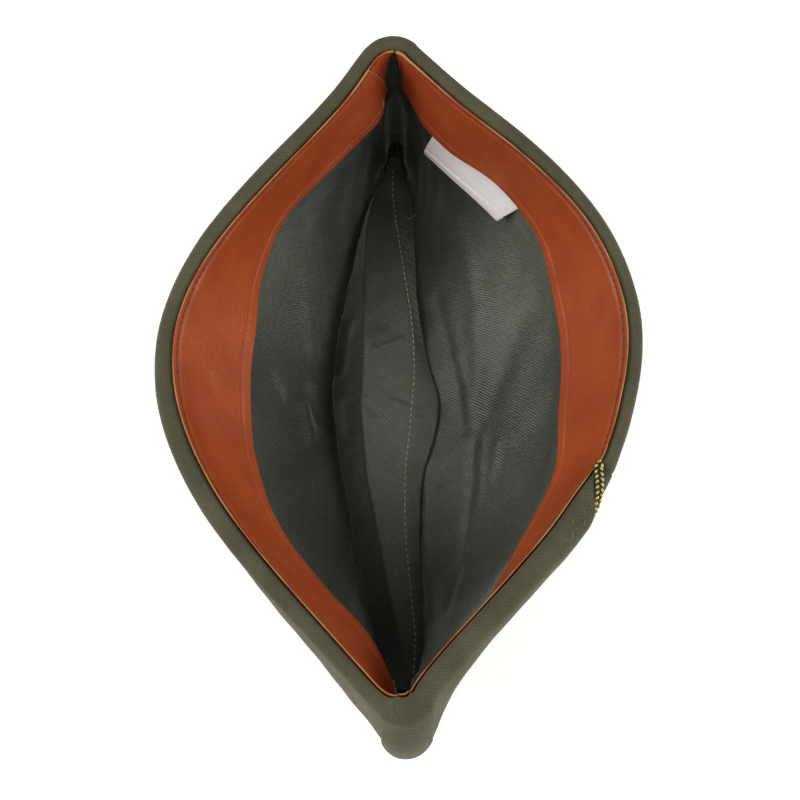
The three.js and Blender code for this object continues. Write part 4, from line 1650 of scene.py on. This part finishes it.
    def build(self) -> list[Piece]:
        """Make the lining.

        Returns:
            The two panels and the strip.
        """
        pieces = []
        for side in Side:
            sheet = self.panel(side)
            piece = settle(sheet.build(), self.room.satin, Slot.SATIN, f"lining_{side.name.lower()}")
            pieces.append(piece)
        sheet, line = self.strip()
        piece = settle(sheet.build(), self.room.satin, Slot.SATIN, "lining_strip")
        sewn = [self.topstitch(line), self.loose_thread()]
        return [*pieces, piece]


@dataclass(frozen=True)
class Label(SubAssembly):
    """Blank folded tape that shows below the sweatband's edge."""

    band: Sweatband
    start: float = 0.2
    end: float = 0.333
    slant: float = 0.008
    top: float = 30.0
    columns: int = 60
    rows: int = 90
    hem: float = 3.4
    hem_rise: float = 0.35
    hem_step: float = 0.5
    ditch_half: float = 0.35
    free_from: float = 36.5
    free_to: float = 50.0
    hang: Table = Table("at low off", (0.2, 54, -9.0), (0.265, 52, -8.0), (0.33, 50.5, -5.4))

    def build(self) -> Piece:
        """Make the tag.

        Returns:
            The tag.
        """
        share = np.linspace(0, 1, self.rows)[None]
        end = self.end - self.slant * share
        at = self.start + (end - self.start) * np.linspace(0, 1, self.columns)[:, None]
        low = self.hang.read("low", at)
        down = self.top + (low - self.top) * share
        behind = self.band.off(at, np.minimum(down, self.free_from)) + LAYERS.gap + LAYERS.tag
        out = ease(down, self.free_from, self.free_to)
        off = behind * (1 - out) + self.hang.read("off", at) * out
        surface = FORM.wall(at, down, off)
        inward = unit(FORM.wall(at, down, off - 1) - surface)
        face, back = faces_of(surface, LAYERS.tag, inward)
        from_edge = low - down
        hem = self.hem_rise * (1 - ease(from_edge, self.hem, self.hem + self.hem_step))
        ditch = self.hem_rise * hump(from_edge, self.hem + self.hem_step, self.ditch_half)
        face = face + inward * (hem - ditch)[..., None]
        sheet = Sheet("blank_tag", face, back, plan_lengths(surface))
        piece = settle(sheet.build(), self.room.tape, Slot.TAG, "label")
        return piece


@dataclass(frozen=True)
class Studio:
    """Pale floor, soft lamps and the camera at the photograph's angle."""

    elevation: float = 75.0
    distance: float = 1.1
    target: tuple[float, float, float] = (0.0, -0.0052, 0.1)
    roll: float = 0.8
    lens: float = 142.2
    sensor: float = 36.0
    floor_half: float = 6.0
    floor_gap: float = 0.0004
    floor_glow: float = 0.5
    room_light: float = 0.15
    lamps: tuple[tuple[str, tuple[float, float, float], float, float], ...] = (
        ("left lamp", (-0.95, -0.15, 0.85), 0.8, 11.0),
        ("right lamp", (0.95, -0.2, 0.85), 0.8, 10.4),
        ("top lamp", (0.0, 0.12, 1.5), 0.4, 1.0),
    )

    def floor(self) -> None:
        """Lay the floor."""
        half = self.floor_half
        corners = [(-half, -half, 0), (half, -half, 0), (half, half, 0), (-half, half, 0)]
        mesh = bpy.data.meshes.new("floor")
        mesh.from_pydata(corners, [], [(0, 1, 2, 3)])
        piece = bpy.data.objects.new("floor", mesh)
        bpy.context.scene.collection.objects.link(piece)
        material = bpy.data.materials.new("pale floor")
        material.use_nodes = True
        paint = {"Base Color": (0.93, 0.93, 0.93, 1), "Roughness": 0.9}
        paint |= {"Emission Color": (1, 1, 1, 1), "Emission Strength": self.floor_glow}
        Sketch(material.node_tree).fill(material.node_tree.nodes["Principled BSDF"], paint)
        mesh.materials.append(material)
        piece.location.z = -self.floor_gap

    def light(self) -> None:
        """Hang the lamps and set the room's light."""
        for name, place, size, power in self.lamps:
            lamp = bpy.data.lights.new(name, "AREA")
            lamp.size = size
            lamp.energy = power
            piece = bpy.data.objects.new(name, lamp)
            piece.location = place
            piece.rotation_euler = (Vector(self.target) - Vector(place)).to_track_quat("-Z", "Y").to_euler()
            bpy.context.scene.collection.objects.link(piece)
        world = bpy.data.worlds.new("studio")
        world.use_nodes = True
        sky = {"Color": (1, 1, 1, 1), "Strength": self.room_light}
        Sketch(world.node_tree).fill(world.node_tree.nodes["Background"], sky)
        bpy.context.scene.world = world
        bpy.context.scene.view_settings.view_transform = "Standard"

    def camera(self) -> None:
        """Set the camera."""
        rise = math.radians(self.elevation)
        back = Vector((0, -math.cos(rise), math.sin(rise)))
        right, up = Vector((1, 0, 0)), Vector((0, math.sin(rise), math.cos(rise)))
        turn = math.radians(self.roll)
        right, up = right * math.cos(turn) - up * math.sin(turn), right * math.sin(turn) + up * math.cos(turn)
        data = bpy.data.cameras.new("camera")
        data.lens = self.lens
        data.sensor_width = self.sensor
        piece = bpy.data.objects.new("camera", data)
        axes = Matrix((right, up, back)).transposed().to_4x4()
        piece.matrix_world = Matrix.Translation(Vector(self.target) + back * self.distance) @ axes
        bpy.context.scene.collection.objects.link(piece)
        bpy.context.scene.camera = piece

    def build(self) -> None:
        """Set up the studio."""
        self.floor()
        self.light()
        self.camera()


def main() -> None:
    """Build the cap piece by piece, then the studio round it."""
    logging.basicConfig(level=logging.INFO, format="%(name)s %(message)s")
    room = Workroom.stocked()
    Crown(room).build()
    band = Sweatband(room)
    turn_up = TurnUp(room, band)
    turn_up.build(Piping(room, turn_up).build())
    band.build()
    Lining(room).build()
    Label(room, band).build()
    Studio().build()


if __name__ == "__main__":
    main()
